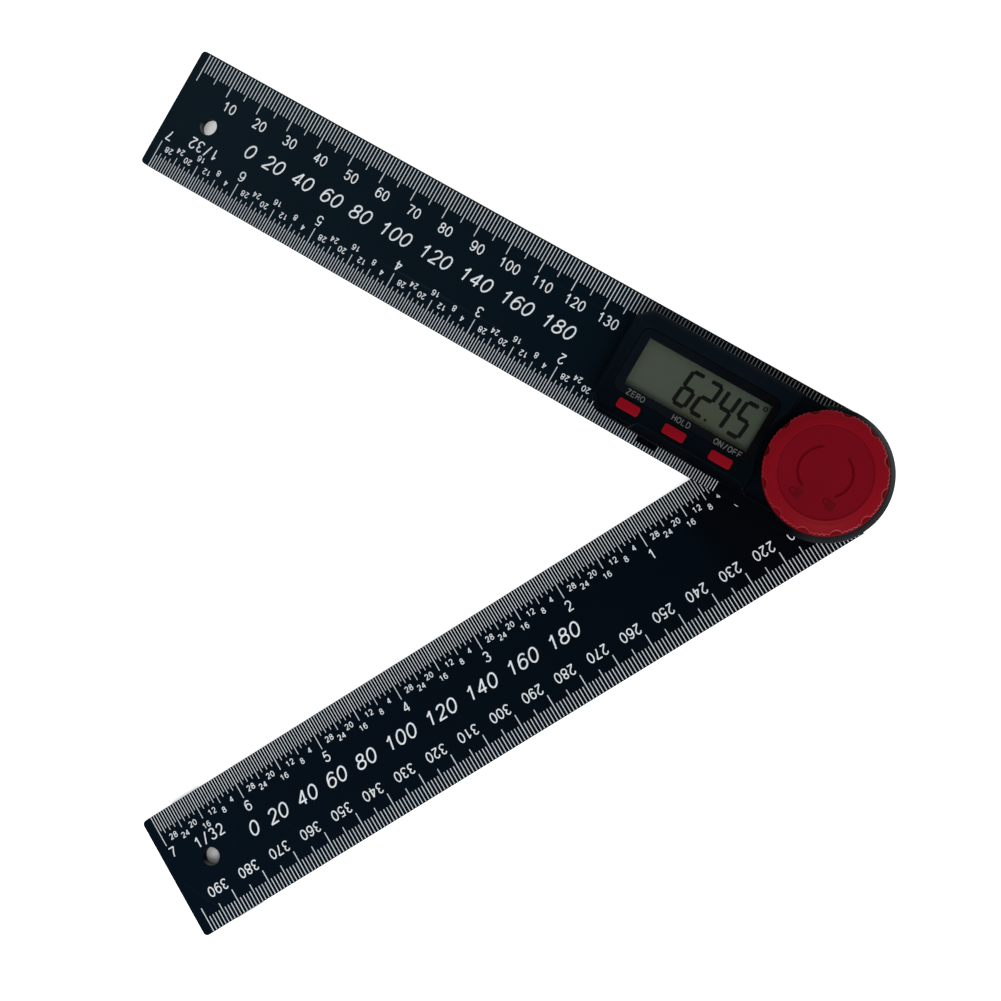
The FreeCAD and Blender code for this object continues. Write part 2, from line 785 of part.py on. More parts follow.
save("upper_blade", make_upper_blade())
save("pivot_bush", make_pivot_bush())
save("display_housing", make_display_housing())
save("housing_screws", make_housing_screws())
save("display_lens", make_display_lens())
save("lcd_panel", make_lcd_panel())
save("zebra_strips", make_zebra_strips())
save("circuit_board", make_circuit_board())
save("board_screws", make_board_screws())
save("controller_chip", make_controller_chip())
save("battery_cell", make_battery_cell())
save("battery_spring", make_battery_spring())
save("battery_clip", make_battery_clip())
save("battery_cover", make_battery_cover())
for name, x in button_x.items():
    save(name + "_button", make_button(x))
    save(name + "_dome", make_dome(x))
save("lower_blade", make_lower_blade())
save("pivot_shaft", make_pivot_shaft())
save("flange_screws", make_flange_screws())
save("friction_washer", make_friction_washer())
save("encoder_rotor", make_encoder_rotor())
save("rotor_clip", make_rotor_clip())
save("thrust_washer", make_thrust_washer())
save("lock_knob", make_lock_knob())
save("knob_insert", make_knob_insert())
save("knob_cap", make_knob_cap())
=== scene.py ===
import math
import bpy
import bmesh
from mathutils import Matrix, Vector


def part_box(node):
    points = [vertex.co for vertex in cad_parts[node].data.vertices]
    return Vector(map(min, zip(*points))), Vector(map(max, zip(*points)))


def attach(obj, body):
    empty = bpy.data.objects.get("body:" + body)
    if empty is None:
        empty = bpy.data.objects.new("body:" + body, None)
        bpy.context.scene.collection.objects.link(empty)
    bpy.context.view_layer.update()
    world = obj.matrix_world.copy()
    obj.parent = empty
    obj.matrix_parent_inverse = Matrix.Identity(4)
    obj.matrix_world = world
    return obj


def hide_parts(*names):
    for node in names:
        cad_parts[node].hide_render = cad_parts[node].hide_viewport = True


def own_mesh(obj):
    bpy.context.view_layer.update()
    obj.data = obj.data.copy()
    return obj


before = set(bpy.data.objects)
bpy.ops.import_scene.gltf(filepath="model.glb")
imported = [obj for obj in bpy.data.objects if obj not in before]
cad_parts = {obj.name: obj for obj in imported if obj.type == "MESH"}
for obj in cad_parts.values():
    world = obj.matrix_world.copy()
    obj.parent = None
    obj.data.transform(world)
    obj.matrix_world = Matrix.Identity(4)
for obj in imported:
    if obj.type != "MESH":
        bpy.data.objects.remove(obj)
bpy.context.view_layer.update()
mm = 0.001
print("frame loaded:", len(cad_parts), "nodes")

armAngle = 62.45        # degrees between the arms at rest
hole = {"along": -190.3 * mm, "radius": 2.41 * mm}      # hanging hole, the same in both arms
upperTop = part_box("upper_blade")[1][2]
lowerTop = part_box("lower_blade")[1][2]
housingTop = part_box("display_housing")[1][2]
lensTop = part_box("display_lens")[1][2]
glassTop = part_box("lcd_panel")[1][2]


# shader maths: a signal wraps a socket, so masks can be added, multiplied and compared

class Signal:
    def __init__(self, paint, socket):
        self.paint = paint
        self.socket = socket

    def maths(self, operation, first, second):
        return self.paint.node("ShaderNodeMath", {"operation": operation}, {0: first, 1: second})

    def __add__(self, other):
        return self.maths("ADD", self, other)

    def __radd__(self, other):
        return self.maths("ADD", other, self)

    def __sub__(self, other):
        return self.maths("SUBTRACT", self, other)

    def __rsub__(self, other):
        return self.maths("SUBTRACT", other, self)

    def __mul__(self, other):
        return self.maths("MULTIPLY", self, other)

    def __rmul__(self, other):
        return self.maths("MULTIPLY", other, self)

    def __gt__(self, other):
        return self.maths("GREATER_THAN", self, other)

    def __lt__(self, other):
        return self.maths("LESS_THAN", self, other)

    def __abs__(self):
        return self.maths("ABSOLUTE", self, 0.0)


def shade(red, green, blue):        # screen colour 0..255 to the linear colour a socket takes
    linear = []
    for value in (red, green, blue):
        value = value / 255
        linear.append(value / 12.92 if value <= 0.04045 else ((value + 0.055) / 1.055) ** 2.4)
    return (*linear, 1.0)


def toned(colour, factor):
    return tuple(min(1.0, value * factor) for value in colour[:3]) + (1.0,)


class NodeMaker:
    def __init__(self, tree):
        self.tree = tree

    def node(self, kind, settings, values, output=0):
        made = self.tree.nodes.new(kind)
        for key, value in settings.items():
            setattr(made, key, value)
        for key, value in values.items():
            if isinstance(value, Signal):
                self.tree.links.new(value.socket, made.inputs[key])
            else:
                made.inputs[key].default_value = value
        return Signal(self, made.outputs[output])

    def mapped(self, signal, low, high, start=0.0, end=1.0):     # start at low, end at high, held beyond
        return self.node("ShaderNodeMapRange", {"clamp": True},
                         {0: signal, 1: low, 2: high, 3: start, 4: end})

    def over(self, signal, ends, start=0.0, end=1.0):       # mapped between two places in mm
        return self.mapped(signal, ends[0] * mm, ends[1] * mm, start, end)

    def seen(self, start=0.0, end=1.0):     # end where the camera looks, also in gloss and glass
        rays = [self.node("ShaderNodeLightPath", {}, {}, "Is " + kind + " Ray")
                for kind in ("Camera", "Glossy", "Transmission")]
        return self.mapped(rays[0] + rays[1] + rays[2], 0.0, 1.0, start, end)


class Paint(NodeMaker):
    # one material: constants go on the shader's own sockets, signals are fed to it
    def __init__(self, name, **sockets):
        self.material = bpy.data.materials.new(name)
        self.material.use_nodes = True
        super().__init__(self.material.node_tree)
        self.shader = self.tree.nodes["Principled BSDF"]
        for socketName, value in sockets.items():
            self.shader.inputs[socketName.replace("_", " ")].default_value = value
        self.place = self.node("ShaderNodeTexCoord", {}, {}, "Object")

    def feed(self, socketName, signal):
        self.tree.links.new(signal.socket, self.shader.inputs[socketName])

    def noise(self, scale, detail=2.0, vector=None):
        return self.node("ShaderNodeTexNoise", {}, {"Vector": vector or self.place, "Scale": scale,
                                                    "Detail": detail})

    def blend(self, factor, first, second):
        return self.node("ShaderNodeMix", {"data_type": "RGBA"}, {0: factor, 6: first, 7: second}, 2)

    def turned(self, turn=0.0, stretch=(1, 1, 1)):     # coordinates turned about Z, in degrees
        return self.node("ShaderNodeMapping", {}, {"Vector": self.place, "Scale": stretch,
                                                   "Rotation": (0, 0, math.radians(turn))})

    def axes(self, turn=0.0):
        coordinates = self.turned(turn)
        return [self.node("ShaderNodeSeparateXYZ", {}, {0: coordinates}, axis) for axis in range(3)]

    def length(self, vector):
        return self.node("ShaderNodeVectorMath", {"operation": "LENGTH"}, {0: vector}, "Value")

    def reach(self, along, across):     # distance in plan
        return self.length(self.node("ShaderNodeCombineXYZ", {}, {0: along, 1: across}))

    def bump(self, height, strength, distance):
        self.feed("Normal", self.node("ShaderNodeBump", {}, {"Strength": strength, "Distance": distance,
                                                             "Height": height}))


# camera, floor and lamps

view = {
    "place": (5.4507, -29.9117, 410.7778),      # mm
    "turn": (3.19691, 10.10101, 30.77407),      # degrees, about X, Y and Z
    "lens": 56.89, "sensor": 36.0,              # mm
    "clipStart": 0.01,
}
room = {
    "world": 0.6,
    "floorColour": (0.95, 0.95, 0.95, 1.0),
    "floorHoleShade": (0.33, 0.33, 0.32, 1.0),     # painted shade in the holes, on the floor's ring
    "floorGlow": 0.72,
    "floorShade": 5.5 * mm,         # how near a thing has to be to take the floor's glow away
    "shadeOpen": (0.37, 0.7),       # how open the floor is where the glow is gone and where it is full
    "shadeRing": (5.0, 4.0),        # mm: the shade lies on the ring that both holes pass over
    "floorSize": 6.0,
    "floorDrop": 0.02 * mm,
}
lamps = {       # place, aim and sizes in metres, power in watts
    "keySoftbox": {"place": (0.24, -0.44, 0.68), "aim": (-0.08, -0.05, 0.0),
                   "sizes": (0.4, 0.4), "power": 4.2},
    "rimStrip": {"place": (0.42, 0.1, 0.06), "aim": (0.0, 0.0, 0.012),
                 "sizes": (0.55, 0.1), "power": 0.2},
}


def makeCamera():
    lens = bpy.data.cameras.new("camera")
    lens.sensor_width = view["sensor"]
    lens.lens = view["lens"]
    lens.clip_start = view["clipStart"]
    camera = bpy.data.objects.new("camera", lens)
    bpy.context.scene.collection.objects.link(camera)
    camera.location = [value * mm for value in view["place"]]
    camera.rotation_euler = [math.radians(value) for value in view["turn"]]
    bpy.context.scene.camera = camera


def makeWorld():
    world = bpy.data.worlds.new("studio")
    bpy.context.scene.world = world
    world.use_nodes = True
    air = NodeMaker(world.node_tree)
    background = air.tree.nodes["Background"]
    background.inputs["Color"].default_value = (1, 1, 1, 1)
    air.tree.links.new(air.seen(room["world"], 1.0).socket, background.inputs["Strength"])


def makeFloor():
    bm = bmesh.new()
    bmesh.ops.create_grid(bm, x_segments=1, y_segments=1, size=room["floorSize"] / 2,
                          matrix=Matrix.Translation((0, 0, -room["floorDrop"])))
    mesh = bpy.data.meshes.new("floor")
    bm.to_mesh(mesh)
    bm.free()
    floor = bpy.data.objects.new("floor", mesh)
    bpy.context.scene.collection.objects.link(floor)
    paper = Paint("floorPaper", Roughness=0.9, Specular_IOR_Level=0.0,
                  Emission_Strength=room["floorGlow"])
    around = paper.node("ShaderNodeAmbientOcclusion", {"samples": 10},
                        {"Distance": room["floorShade"]}, "AO")
    below = paper.over(abs(paper.length(paper.place) + hole["along"]), room["shadeRing"])
    clear = 1.0 - below * (1.0 - paper.mapped(around, *room["shadeOpen"]))
    # painted shade: the floor's own colour darkens where it is occluded on the holes' ring
    paper.feed("Base Color", paper.blend(clear, room["floorHoleShade"], room["floorColour"]))
    paper.feed("Emission Color", paper.blend(paper.seen() * clear, (0, 0, 0, 1), (1, 1, 1, 1)))
    mesh.materials.append(paper.material)


def makeLamps():
    for name, lamp in lamps.items():
        light = bpy.data.lights.new(name, "AREA")
        light.shape = "RECTANGLE"
        light.size, light.size_y = lamp["sizes"]
        light.energy = lamp["power"]
        holder = bpy.data.objects.new(name, light)
        bpy.context.scene.collection.objects.link(holder)
        holder.location = lamp["place"]
        aim = Vector(lamp["aim"]) - Vector(lamp["place"])
        holder.rotation_euler = aim.to_track_quat("-Z", "Y").to_euler()


makeCamera()
makeWorld()
makeFloor()
makeLamps()
bpy.context.scene.view_settings.view_transform = "Standard"
print("camera, floor and lamps set")


# materials

finishes = {
    # the blades' far and near colours are painted light and shade: lit at the far end, shaded towards the
    # pivot
    "upperFar": shade(12, 24, 32), "upperNear": shade(0, 8, 17),
    "lowerFar": shade(3, 13, 23), "lowerNear": shade(0, 5, 11),
    "bladeHousingShadow": shade(0, 2, 6), "bladeWorn": shade(58, 66, 72), "holeWall": shade(108, 109, 107),
    # the housing's tones are painted light and shade: the top tone is its lit +Y side, the others its
    # shaded sides
    "housingTop": shade(7, 15, 21), "housingShadedSide": shade(0, 4, 9), "housingKeySideShade": shade(0, 1, 4),
    "housingEdge": shade(7, 13, 18), "housingDust": shade(28, 34, 38),
    "lensFar": shade(4, 12, 19), "lensNear": shade(0, 0, 2), "lensDust": shade(90, 95, 98),
    "lcdLeft": shade(68, 75, 66), "lcdRight": shade(57, 65, 55), "lcdOlive": shade(62, 66, 46),
    "lcdCloud": shade(44, 50, 44), "segment": shade(6, 9, 8),
    # the keys' edge colour is a painted highlight
    "button": shade(118, 6, 20), "buttonEdgeHighlight": shade(138, 18, 28),
    "knob": shade(115, 7, 20), "cap": shade(104, 5, 20),
    "ink": shade(222, 228, 233), "markInk": shade(192, 198, 203), "markInkShadowed": shade(118, 121, 121),
    # the groove colour is painted shade in the cap's engraved line
    "labelInk": shade(100, 102, 98), "signs": shade(88, 5, 16), "groove": shade(92, 4, 17),
    # the knob's edge colour is a painted highlight
    "knobEdgeHighlight": shade(146, 60, 66),
    "board": shade(16, 68, 40), "tracks": shade(9, 46, 28), "resin": shade(12, 12, 13),
    "steel": shade(150, 150, 148), "cell": shade(176, 177, 175),
    "contact": shade(190, 170, 110), "brass": shade(190, 150, 72),
    "nylon": shade(214, 212, 204), "rubber": shade(34, 35, 37), "cover": shade(7, 12, 17),
}


def mouldedGrain(paint, grain, depth):
    # satin moulding: slow colour drift, fine spark texture and soft handling marks
    drift = paint.mapped(paint.noise(38.0, 3.0), 0.3, 0.7)
    speck = paint.mapped(paint.noise(grain), 0.35, 0.65)
    rubbed = paint.mapped(paint.noise(110.0, 4.0, paint.turned(30, (1, 0.3, 1))), 0.55, 0.75)
    paint.bump(speck * 0.8 + drift * 0.2, 0.3, depth * mm)
    return drift, speck, rubbed


def mouldedPaint(name, colour, roughness, gloss, grain=2600.0, depth=0.02):
    paint = Paint(name, Specular_IOR_Level=gloss)
    drift, speck, rubbed = mouldedGrain(paint, grain, depth)
    paint.feed("Base Color", paint.blend(drift * 0.6 + speck * 0.25 + rubbed * 0.15,
                                         toned(colour, 0.86), toned(colour, 1.14)))
    paint.feed("Roughness", roughness + drift * 0.06 + speck * 0.05 - rubbed * 0.08)
    return paint.material


coat = {        # mm: where a blade's painted shade, worn edges and bare hole wall change, along the blade and across it
    "pivotShade": (-200.0, -20.0), "housingShadow": (-38.0, -28.0), "wornEdge": 17.28, "bareWall": (0.2, -1.4),
}


def bladePaint(name, far, near, turn):
    # powder coated blade with painted shade, darker towards the pivot and darkest in a painted shadow of
    # the housing; worn along its edges, bare metal in its hole
    paint = Paint(name, Specular_IOR_Level=0.015)
    along, across = paint.axes(-turn)[:2]
    # painted shade: darker towards the pivot, then a painted shadow of the housing near the head
    base = paint.blend(paint.over(along, coat["pivotShade"]), far, near)
    base = paint.blend(paint.over(along, coat["housingShadow"]), base, finishes["bladeHousingShadow"])
    speck = paint.mapped(paint.noise(3200.0), 0.4, 0.6)
    cloud = paint.mapped(paint.noise(26.0, 3.0), 0.3, 0.7)
    tint = paint.blend(speck * 0.5 + cloud * 0.5, (0.82, 0.82, 0.82, 1), (1.16, 1.16, 1.16, 1))
    base = paint.node("ShaderNodeMix", {"data_type": "RGBA", "blend_type": "MULTIPLY"},
                      {0: 1.0, 6: base, 7: tint}, 2)
    scratch = paint.mapped(paint.noise(240.0, 3.0, paint.turned(-turn, (0.06, 4.0, 1))), 0.68, 0.78)
    edge = (abs(across) > coat["wornEdge"] * mm) * paint.mapped(paint.noise(160.0, 3.0), 0.5, 0.8)
    base = paint.blend(scratch * 0.1 + edge * 0.35, base, finishes["bladeWorn"])
    away = paint.reach(along - hole["along"], across)
    bare = (away < hole["radius"]) * paint.over(across, coat["bareWall"])
    paint.feed("Base Color", paint.blend(bare, base, finishes["holeWall"]))
    paint.feed("Roughness", 0.5 + cloud * 0.08 - scratch * 0.1)
    paint.bump(speck, 0.3, 0.015 * mm)
    return paint.material


shell = {       # mm: where the housing's painted light and shade change; the rim is below its top, round the knob
    "lightAcross": (-11.0, 10.0), "lightAlong": (-28.0, -10.0), "darkAcross": (-11.5, -14.0),
    "rimRadius": 15.62, "rimDrop": 2.9, "rimAlong": (-1.0, 6.0), "rimAcross": (0.0, 12.0),
}


def housingPaint():
    # moulding with painted light and shade: lighter on the +Y side and far end, darker on the keys' side
    # and towards the knob, with a rim that shines
    paint = Paint("housingMoulding", Specular_IOR_Level=0.012, Coat_Roughness=0.3, Coat_IOR=1.5)
    along, across, up = paint.axes()
    drift, speck, rubbed = mouldedGrain(paint, 2600.0, 0.02)
    # painted light and shade across the housing and along it
    side = paint.over(across, shell["lightAcross"]) * paint.over(along, shell["lightAlong"], 1.0, 0.1)
    base = paint.blend(side * 0.85 + drift * 0.15, finishes["housingShadedSide"], finishes["housingTop"])
    low = paint.over(across, shell["darkAcross"])
    base = paint.blend(low, base, finishes["housingKeySideShade"])
    paint.feed("Base Color", paint.blend(speck * 0.04 + rubbed * 0.04, base, finishes["housingDust"]))
    paint.feed("Roughness", 0.42 + drift * 0.06 + speck * 0.05 - rubbed * 0.08 + low * 0.35)
    rim = (paint.reach(along, across) > shell["rimRadius"] * mm) * paint.over(along, shell["rimAlong"])
    rim = rim * (up < housingTop - shell["rimDrop"] * mm)
    paint.feed("Coat Weight", rim * paint.over(across, shell["rimAcross"], 0.22, 0.42))
    return paint.material


inkShadowEnds = (-62.0, -57.0)        # mm along the arm: where the painted shadow of the housing on the marks starts, and where it is full


def inkPaint(name, colour, shadowed=None):
    # screen printed ink, thin in places, with a painted shade beside the housing on the +Y edge when a
    # shaded tone is given
    paint = Paint(name, Specular_IOR_Level=0.05)
    thin = paint.mapped(paint.noise(700.0, 3.0), 0.3, 0.6)
    cloud = paint.mapped(paint.noise(45.0), 0.35, 0.65)
    base = paint.blend(thin * 0.6 + cloud * 0.4, toned(colour, 0.86), toned(colour, 1.06))
    if shadowed:
        along, across = paint.axes()[:2]
        # painted shadow of the housing on the marks
        beside = paint.over(along, inkShadowEnds) * (across > 0.0)
        base = paint.blend(beside, base, shadowed)
    paint.feed("Base Color", base)
    paint.feed("Roughness", 0.5 + thin * 0.12)
    paint.bump(thin, 0.2, 0.01 * mm)
    return paint.material


window = {      # mm: the clear part of the panel, where the painted shade on panel and glass runs, and where the glass turns olive
    "left": -54.8, "right": -19.4, "bottom": -5.2, "top": 8.0,
    "panelFade": (-56.0, -20.0), "glassFade": (-55.0, -20.0), "fadeTilt": 0.4,
    "oliveMiddle": -34.0, "oliveAlong": (12.0, 2.0), "oliveAcross": (5.0, -4.0),
}


def lensPaint():
    # smoked panel with a clear window and painted shade: darker towards the knob
    paint = Paint("smokedPanel", Specular_IOR_Level=0.02)
    along, across = paint.axes()[:2]
    inside = ((along > window["left"] * mm) * (along < window["right"] * mm)
              * (across > window["bottom"] * mm) * (across < window["top"] * mm))
    cloud = paint.mapped(paint.noise(60.0, 3.0), 0.3, 0.7)
    wiped = paint.mapped(paint.noise(90.0, 3.0, paint.turned(25, (1, 0.2, 1))), 0.55, 0.8)
    # painted shade along the panel, darker towards the knob
    base = paint.blend(paint.over(along, window["panelFade"]), finishes["lensFar"], finishes["lensNear"])
    paint.feed("Base Color", paint.blend(cloud * 0.02 + wiped * 0.02, base, finishes["lensDust"]))
    paint.feed("Roughness", 0.12 + cloud * 0.06 + wiped * 0.1)
    paint.feed("Alpha", 1.0 - inside)
    paint.bump(cloud, 0.05, 0.02 * mm)
    return paint.material


def lcdPaint():
    # grey display glass with painted shade, darker towards the knob, and an olive tint low in its middle
    paint = Paint("displayGlass", Specular_IOR_Level=0.05)
    along, across = paint.axes()[:2]
    # painted shade: the glass darkens towards the knob
    tone = paint.over(along - across * window["fadeTilt"], window["glassFade"])
    fine = paint.mapped(paint.noise(1400.0), 0.35, 0.65)
    cloud = paint.mapped(paint.noise(50.0), 0.35, 0.65)
    base = paint.blend(tone, finishes["lcdLeft"], finishes["lcdRight"])
    olive = (paint.over(abs(along - window["oliveMiddle"] * mm), window["oliveAlong"])
             * paint.over(across, window["oliveAcross"]))
    base = paint.blend(olive * 0.5, base, finishes["lcdOlive"])
    paint.feed("Base Color", paint.blend(fine * 0.04 + cloud * 0.08, base, finishes["lcdCloud"]))
    paint.feed("Roughness", 0.4 + fine * 0.08)
    paint.bump(fine, 0.1, 0.01 * mm)
    return paint.material


def wornPaint(name, colour, highlight):
    # the grip's upper edge with a painted highlight, lighter towards +X where the light falls
    paint = Paint(name, Specular_IOR_Level=0.1)
    patchy = paint.mapped(paint.noise(900.0, 3.0), 0.3, 0.6)
    highlighted = paint.over(paint.axes()[0], (-9.0, 9.0), 0.15, 1.0) * (0.5 + patchy * 0.5)
    paint.feed("Base Color", paint.blend(highlighted, colour, highlight))
    paint.feed("Roughness", 0.42 - highlighted * 0.12)
    paint.bump(patchy, 0.2, 0.01 * mm)
    return paint.material


def metalPaint(name, colour, roughness=0.32):
    # turned or pressed metal with fine tool marks and a dull film
    paint = Paint(name, Specular_IOR_Level=0.5)
    marks = paint.mapped(paint.noise(1800.0, 2.0, paint.turned(0, (1, 1, 0.05))), 0.35, 0.65)
    film = paint.mapped(paint.noise(180.0, 3.0), 0.4, 0.7)
    paint.feed("Base Color", paint.blend(marks * 0.3 + film * 0.7,
                                         toned(colour, 1.1), toned(colour, 0.7)))
    paint.feed("Metallic", 1.0 - film * 0.15)
    paint.feed("Roughness", roughness + film * 0.15 + marks * 0.06)
    paint.bump(marks, 0.2, 0.01 * mm)
    return paint.material


def boardPaint():
    # green solder mask with darker tracks under it
    paint = Paint("solderMask", Specular_IOR_Level=0.4)
    tracks = paint.node("ShaderNodeTexBrick", {}, {"Vector": paint.place, "Scale": 260.0,
                                                   "Mortar Size": 0.1, "Mortar": (1, 1, 1, 1),
                                                   "Color1": (0, 0, 0, 1), "Color2": (0, 0, 0, 1)}, 1)
    cloud = paint.mapped(paint.noise(90.0), 0.35, 0.65)
    paint.feed("Base Color", paint.blend(tracks * 0.5 + cloud * 0.2,
                                         finishes["board"], finishes["tracks"]))
    paint.feed("Roughness", 0.35 + cloud * 0.1)
    paint.bump(tracks, 0.2, 0.03 * mm)
    return paint.material


redGrain = {"grain": 3200.0, "depth": 0.01}     # the red mouldings have a finer grain
paints = {
    "upper_blade": bladePaint("upperBladeCoat", finishes["upperFar"], finishes["upperNear"], 0.0),
    "lower_blade": bladePaint("lowerBladeCoat", finishes["lowerFar"], finishes["lowerNear"], armAngle),
    "display_housing": housingPaint(),
    "battery_cover": mouldedPaint("coverMoulding", finishes["cover"], 0.5, 0.06),
    "display_lens": lensPaint(),
    "lcd_panel": lcdPaint(),
    "zero_button": mouldedPaint("keyMoulding", finishes["button"], 0.45, 0.03, **redGrain),
    "lock_knob": mouldedPaint("knobMoulding", finishes["knob"], 0.4, 0.035, **redGrain),
    "knob_cap": mouldedPaint("capMoulding", finishes["cap"], 0.45, 0.03, **redGrain),
    "circuit_board": boardPaint(),
    "controller_chip": mouldedPaint("chipResin", finishes["resin"], 0.25, 0.4),
    "pivot_shaft": metalPaint("turnedSteel", finishes["steel"]),
    "battery_cell": metalPaint("cellCan", finishes["cell"], 0.3),
    "battery_spring": metalPaint("contactMetal", finishes["contact"], 0.3),
    "knob_insert": metalPaint("brassNut", finishes["brass"], 0.35),
    "friction_washer": mouldedPaint("washerNylon", finishes["nylon"], 0.5, 0.3),
    "zero_dome": mouldedPaint("domeRubber", finishes["rubber"], 0.7, 0.15),
    "signs": mouldedPaint("signRelief", finishes["signs"], 0.5, 0.03, **redGrain),
    "groove": mouldedPaint("grooveFloorShade", finishes["groove"], 0.55, 0.02, **redGrain),
    "housingEdge": mouldedPaint("housingEdges", finishes["housingEdge"], 0.4, 0.05),
    "keyEdgeHighlight": mouldedPaint("keyEdgeHighlights", finishes["buttonEdgeHighlight"], 0.4, 0.08, **redGrain),
    "knobEdgeHighlight": wornPaint("knobPaintedHighlight", finishes["knob"], finishes["knobEdgeHighlight"]),
}
alike = {       # nodes that share another node's finish
    "zero_button": ("hold_button", "power_button"),
    "pivot_shaft": ("flange_screws", "housing_screws", "board_screws", "rotor_clip"),
    "battery_spring": ("battery_clip",),
    "friction_washer": ("thrust_washer",),
    "knob_insert": ("pivot_bush",),
    "circuit_board": ("encoder_rotor",),
    "zero_dome": ("hold_dome", "power_dome", "zebra_strips"),
}


def paintNodes():
    for node, others in alike.items():
        for other in others:
            paints[other] = paints[node]
    for name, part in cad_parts.items():
        part.data.materials.clear()
        part.data.materials.append(paints[name])


paintNodes()
whiteInk = inkPaint("whiteInk", finishes["ink"])
markInk = inkPaint("markInk", finishes["markInk"], finishes["markInkShadowed"])
labelInk = inkPaint("labelInk", finishes["labelInk"])
segmentInk = inkPaint("segmentInk", finishes["segment"])
print("materials made:", len(bpy.data.materials))


# pieces

def finishPiece(name, bm, material, body, slotName, *replacedNodes):
    bmesh.ops.recalc_face_normals(bm, faces=bm.faces)
    mesh = bpy.data.meshes.new(name)
    bm.to_mesh(mesh)
    bm.free()
    mesh.materials.append(material)
    piece = bpy.data.objects.new(name, mesh)
    bpy.context.scene.collection.objects.link(piece)
    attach(piece, body)
    if replacedNodes:
        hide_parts(*replacedNodes)
    return piece


def smoothed(piece, angle=32.0):        # soft rounds, crisp edges where faces meet more sharply
    for face in piece.data.polygons:
        face.use_smooth = True
    piece.data.set_sharp_from_angle(angle=math.radians(angle))


def picked(items, kind):        # the verts, edges or faces among them
    return [item for item in items if isinstance(item, kind)]


def turnZ(degrees):
    return Matrix.Rotation(math.radians(degrees), 4, "Z")


def spot(x, y, level):      # x and y in mm, the level in metres
    return Matrix.Translation((x * mm, y * mm, level))


def addBox(bm, left, right, front, back, low, high, turn=0.0):      # metres, then degrees about Z
    middle = Vector(((left + right) / 2, (front + back) / 2, (low + high) / 2))
    size = Vector((right - left, back - front, high - low))
    place = turnZ(turn) @ Matrix.Translation(middle) @ Matrix.Diagonal((*size, 1.0))
    return bmesh.ops.create_cube(bm, size=1.0, matrix=place)["verts"]


def ringSteps(bm, ring, *steps):
    # grows a ring of edges step by step: a step is a level in metres and a radius in mm, or a function
    # that gives the radius at an angle in degrees
    for level, radius in steps:
        grown = bmesh.ops.extrude_edge_only(bm, edges=ring)["geom"]
        for vert in picked(grown, bmesh.types.BMVert):
            angle = math.atan2(vert.co.y, vert.co.x)
            size = (radius(math.degrees(angle)) if callable(radius) else radius) * mm
            vert.co = (size * math.cos(angle), size * math.sin(angle), level)
        ring = picked(grown, bmesh.types.BMEdge)
    return ring


# figures and letters are drawn as strokes in a box one wide and one high

def bow(x, y, wide, high, start, end, steps=10):        # points along an arc, its ends in degrees
    points = []
    for i in range(steps + 1):
        angle = math.radians(start + (end - start) * i / steps)
        points.append((x + wide * math.cos(angle), y + high * math.sin(angle)))
    return points


def glyphStrokes():
    six = [bow(0.56, 0.52, 0.54, 0.48, 42, 180) + bow(0.5, 0.32, 0.48, 0.32, 180, 540, 16)]
    return {
        "0": [bow(0.5, 0.5, 0.5, 0.5, 90, 450, 18)],
        "1": [[(0.6, 0.0), (0.6, 1.0)], [(0.16, 0.72), (0.4, 0.83), (0.6, 1.0)]],
        "2": [bow(0.5, 0.71, 0.45, 0.29, 168, -28) + [(0.62, 0.36), (0.2, 0.12), (0.05, 0.0)],
              [(0.02, 0.0), (1.0, 0.0)]],
        "3": [bow(0.47, 0.76, 0.41, 0.24, 160, -90), bow(0.47, 0.27, 0.5, 0.27, 90, -160)],
        "4": [[(0.74, 0.0), (0.74, 1.0)], [(0.74, 1.0), (0.0, 0.28)], [(0.0, 0.28), (1.0, 0.28)]],
        "5": [[(0.92, 1.0), (0.22, 1.0), (0.08, 0.48)], bow(0.48, 0.33, 0.5, 0.33, 143, -158)],
        "6": six,
        "7": [[(0.0, 1.0), (1.0, 1.0)], [(1.0, 1.0), (0.66, 0.6), (0.46, 0.3), (0.36, 0.0)]],
        "8": [bow(0.5, 0.77, 0.41, 0.23, -90, 270, 14), bow(0.5, 0.27, 0.5, 0.27, 90, 450, 16)],
        "9": [[(1 - x, 1 - y) for x, y in six[0]]],
        "Z": [[(0.05, 1.0), (0.96, 1.0)], [(0.96, 1.0), (0.03, 0.0)], [(0.03, 0.0), (1.0, 0.0)]],
        "E": [[(1.0, 1.0), (0.05, 1.0), (0.05, 0.0), (1.0, 0.0)], [(0.05, 0.52), (0.92, 0.52)]],
        "R": [[(0.05, 0.0), (0.05, 1.0), (0.6, 1.0)] + bow(0.6, 0.76, 0.35, 0.24, 90, -90, 6)
              + [(0.05, 0.52)], [(0.6, 0.52), (1.0, 0.0)]],
        "O": [bow(0.5, 0.5, 0.56, 0.5, 90, 450, 18)],
        "H": [[(0.03, 0.0), (0.03, 1.0)], [(0.97, 0.0), (0.97, 1.0)], [(0.03, 0.52), (0.97, 0.52)]],
        "L": [[(0.1, 1.0), (0.1, 0.0), (0.95, 0.0)]],
        "D": [[(0.4, 0.0), (0.03, 0.0), (0.03, 1.0), (0.4, 1.0)] + bow(0.42, 0.5, 0.56, 0.5, 80, -90, 8)],
        "N": [[(0.03, 0.0), (0.03, 1.0)], [(0.03, 1.0), (0.97, 0.0)], [(0.97, 0.0), (0.97, 1.0)]],
        "F": [[(0.08, 0.0), (0.08, 1.0), (0.98, 1.0)], [(0.08, 0.52), (0.85, 0.52)]],
        "/": [[(0.15, -0.05), (0.85, 1.05)]],
    }


glyphs = glyphStrokes()
glyphWide, glyphMargin = 0.86, 0.07     # shares of the advance


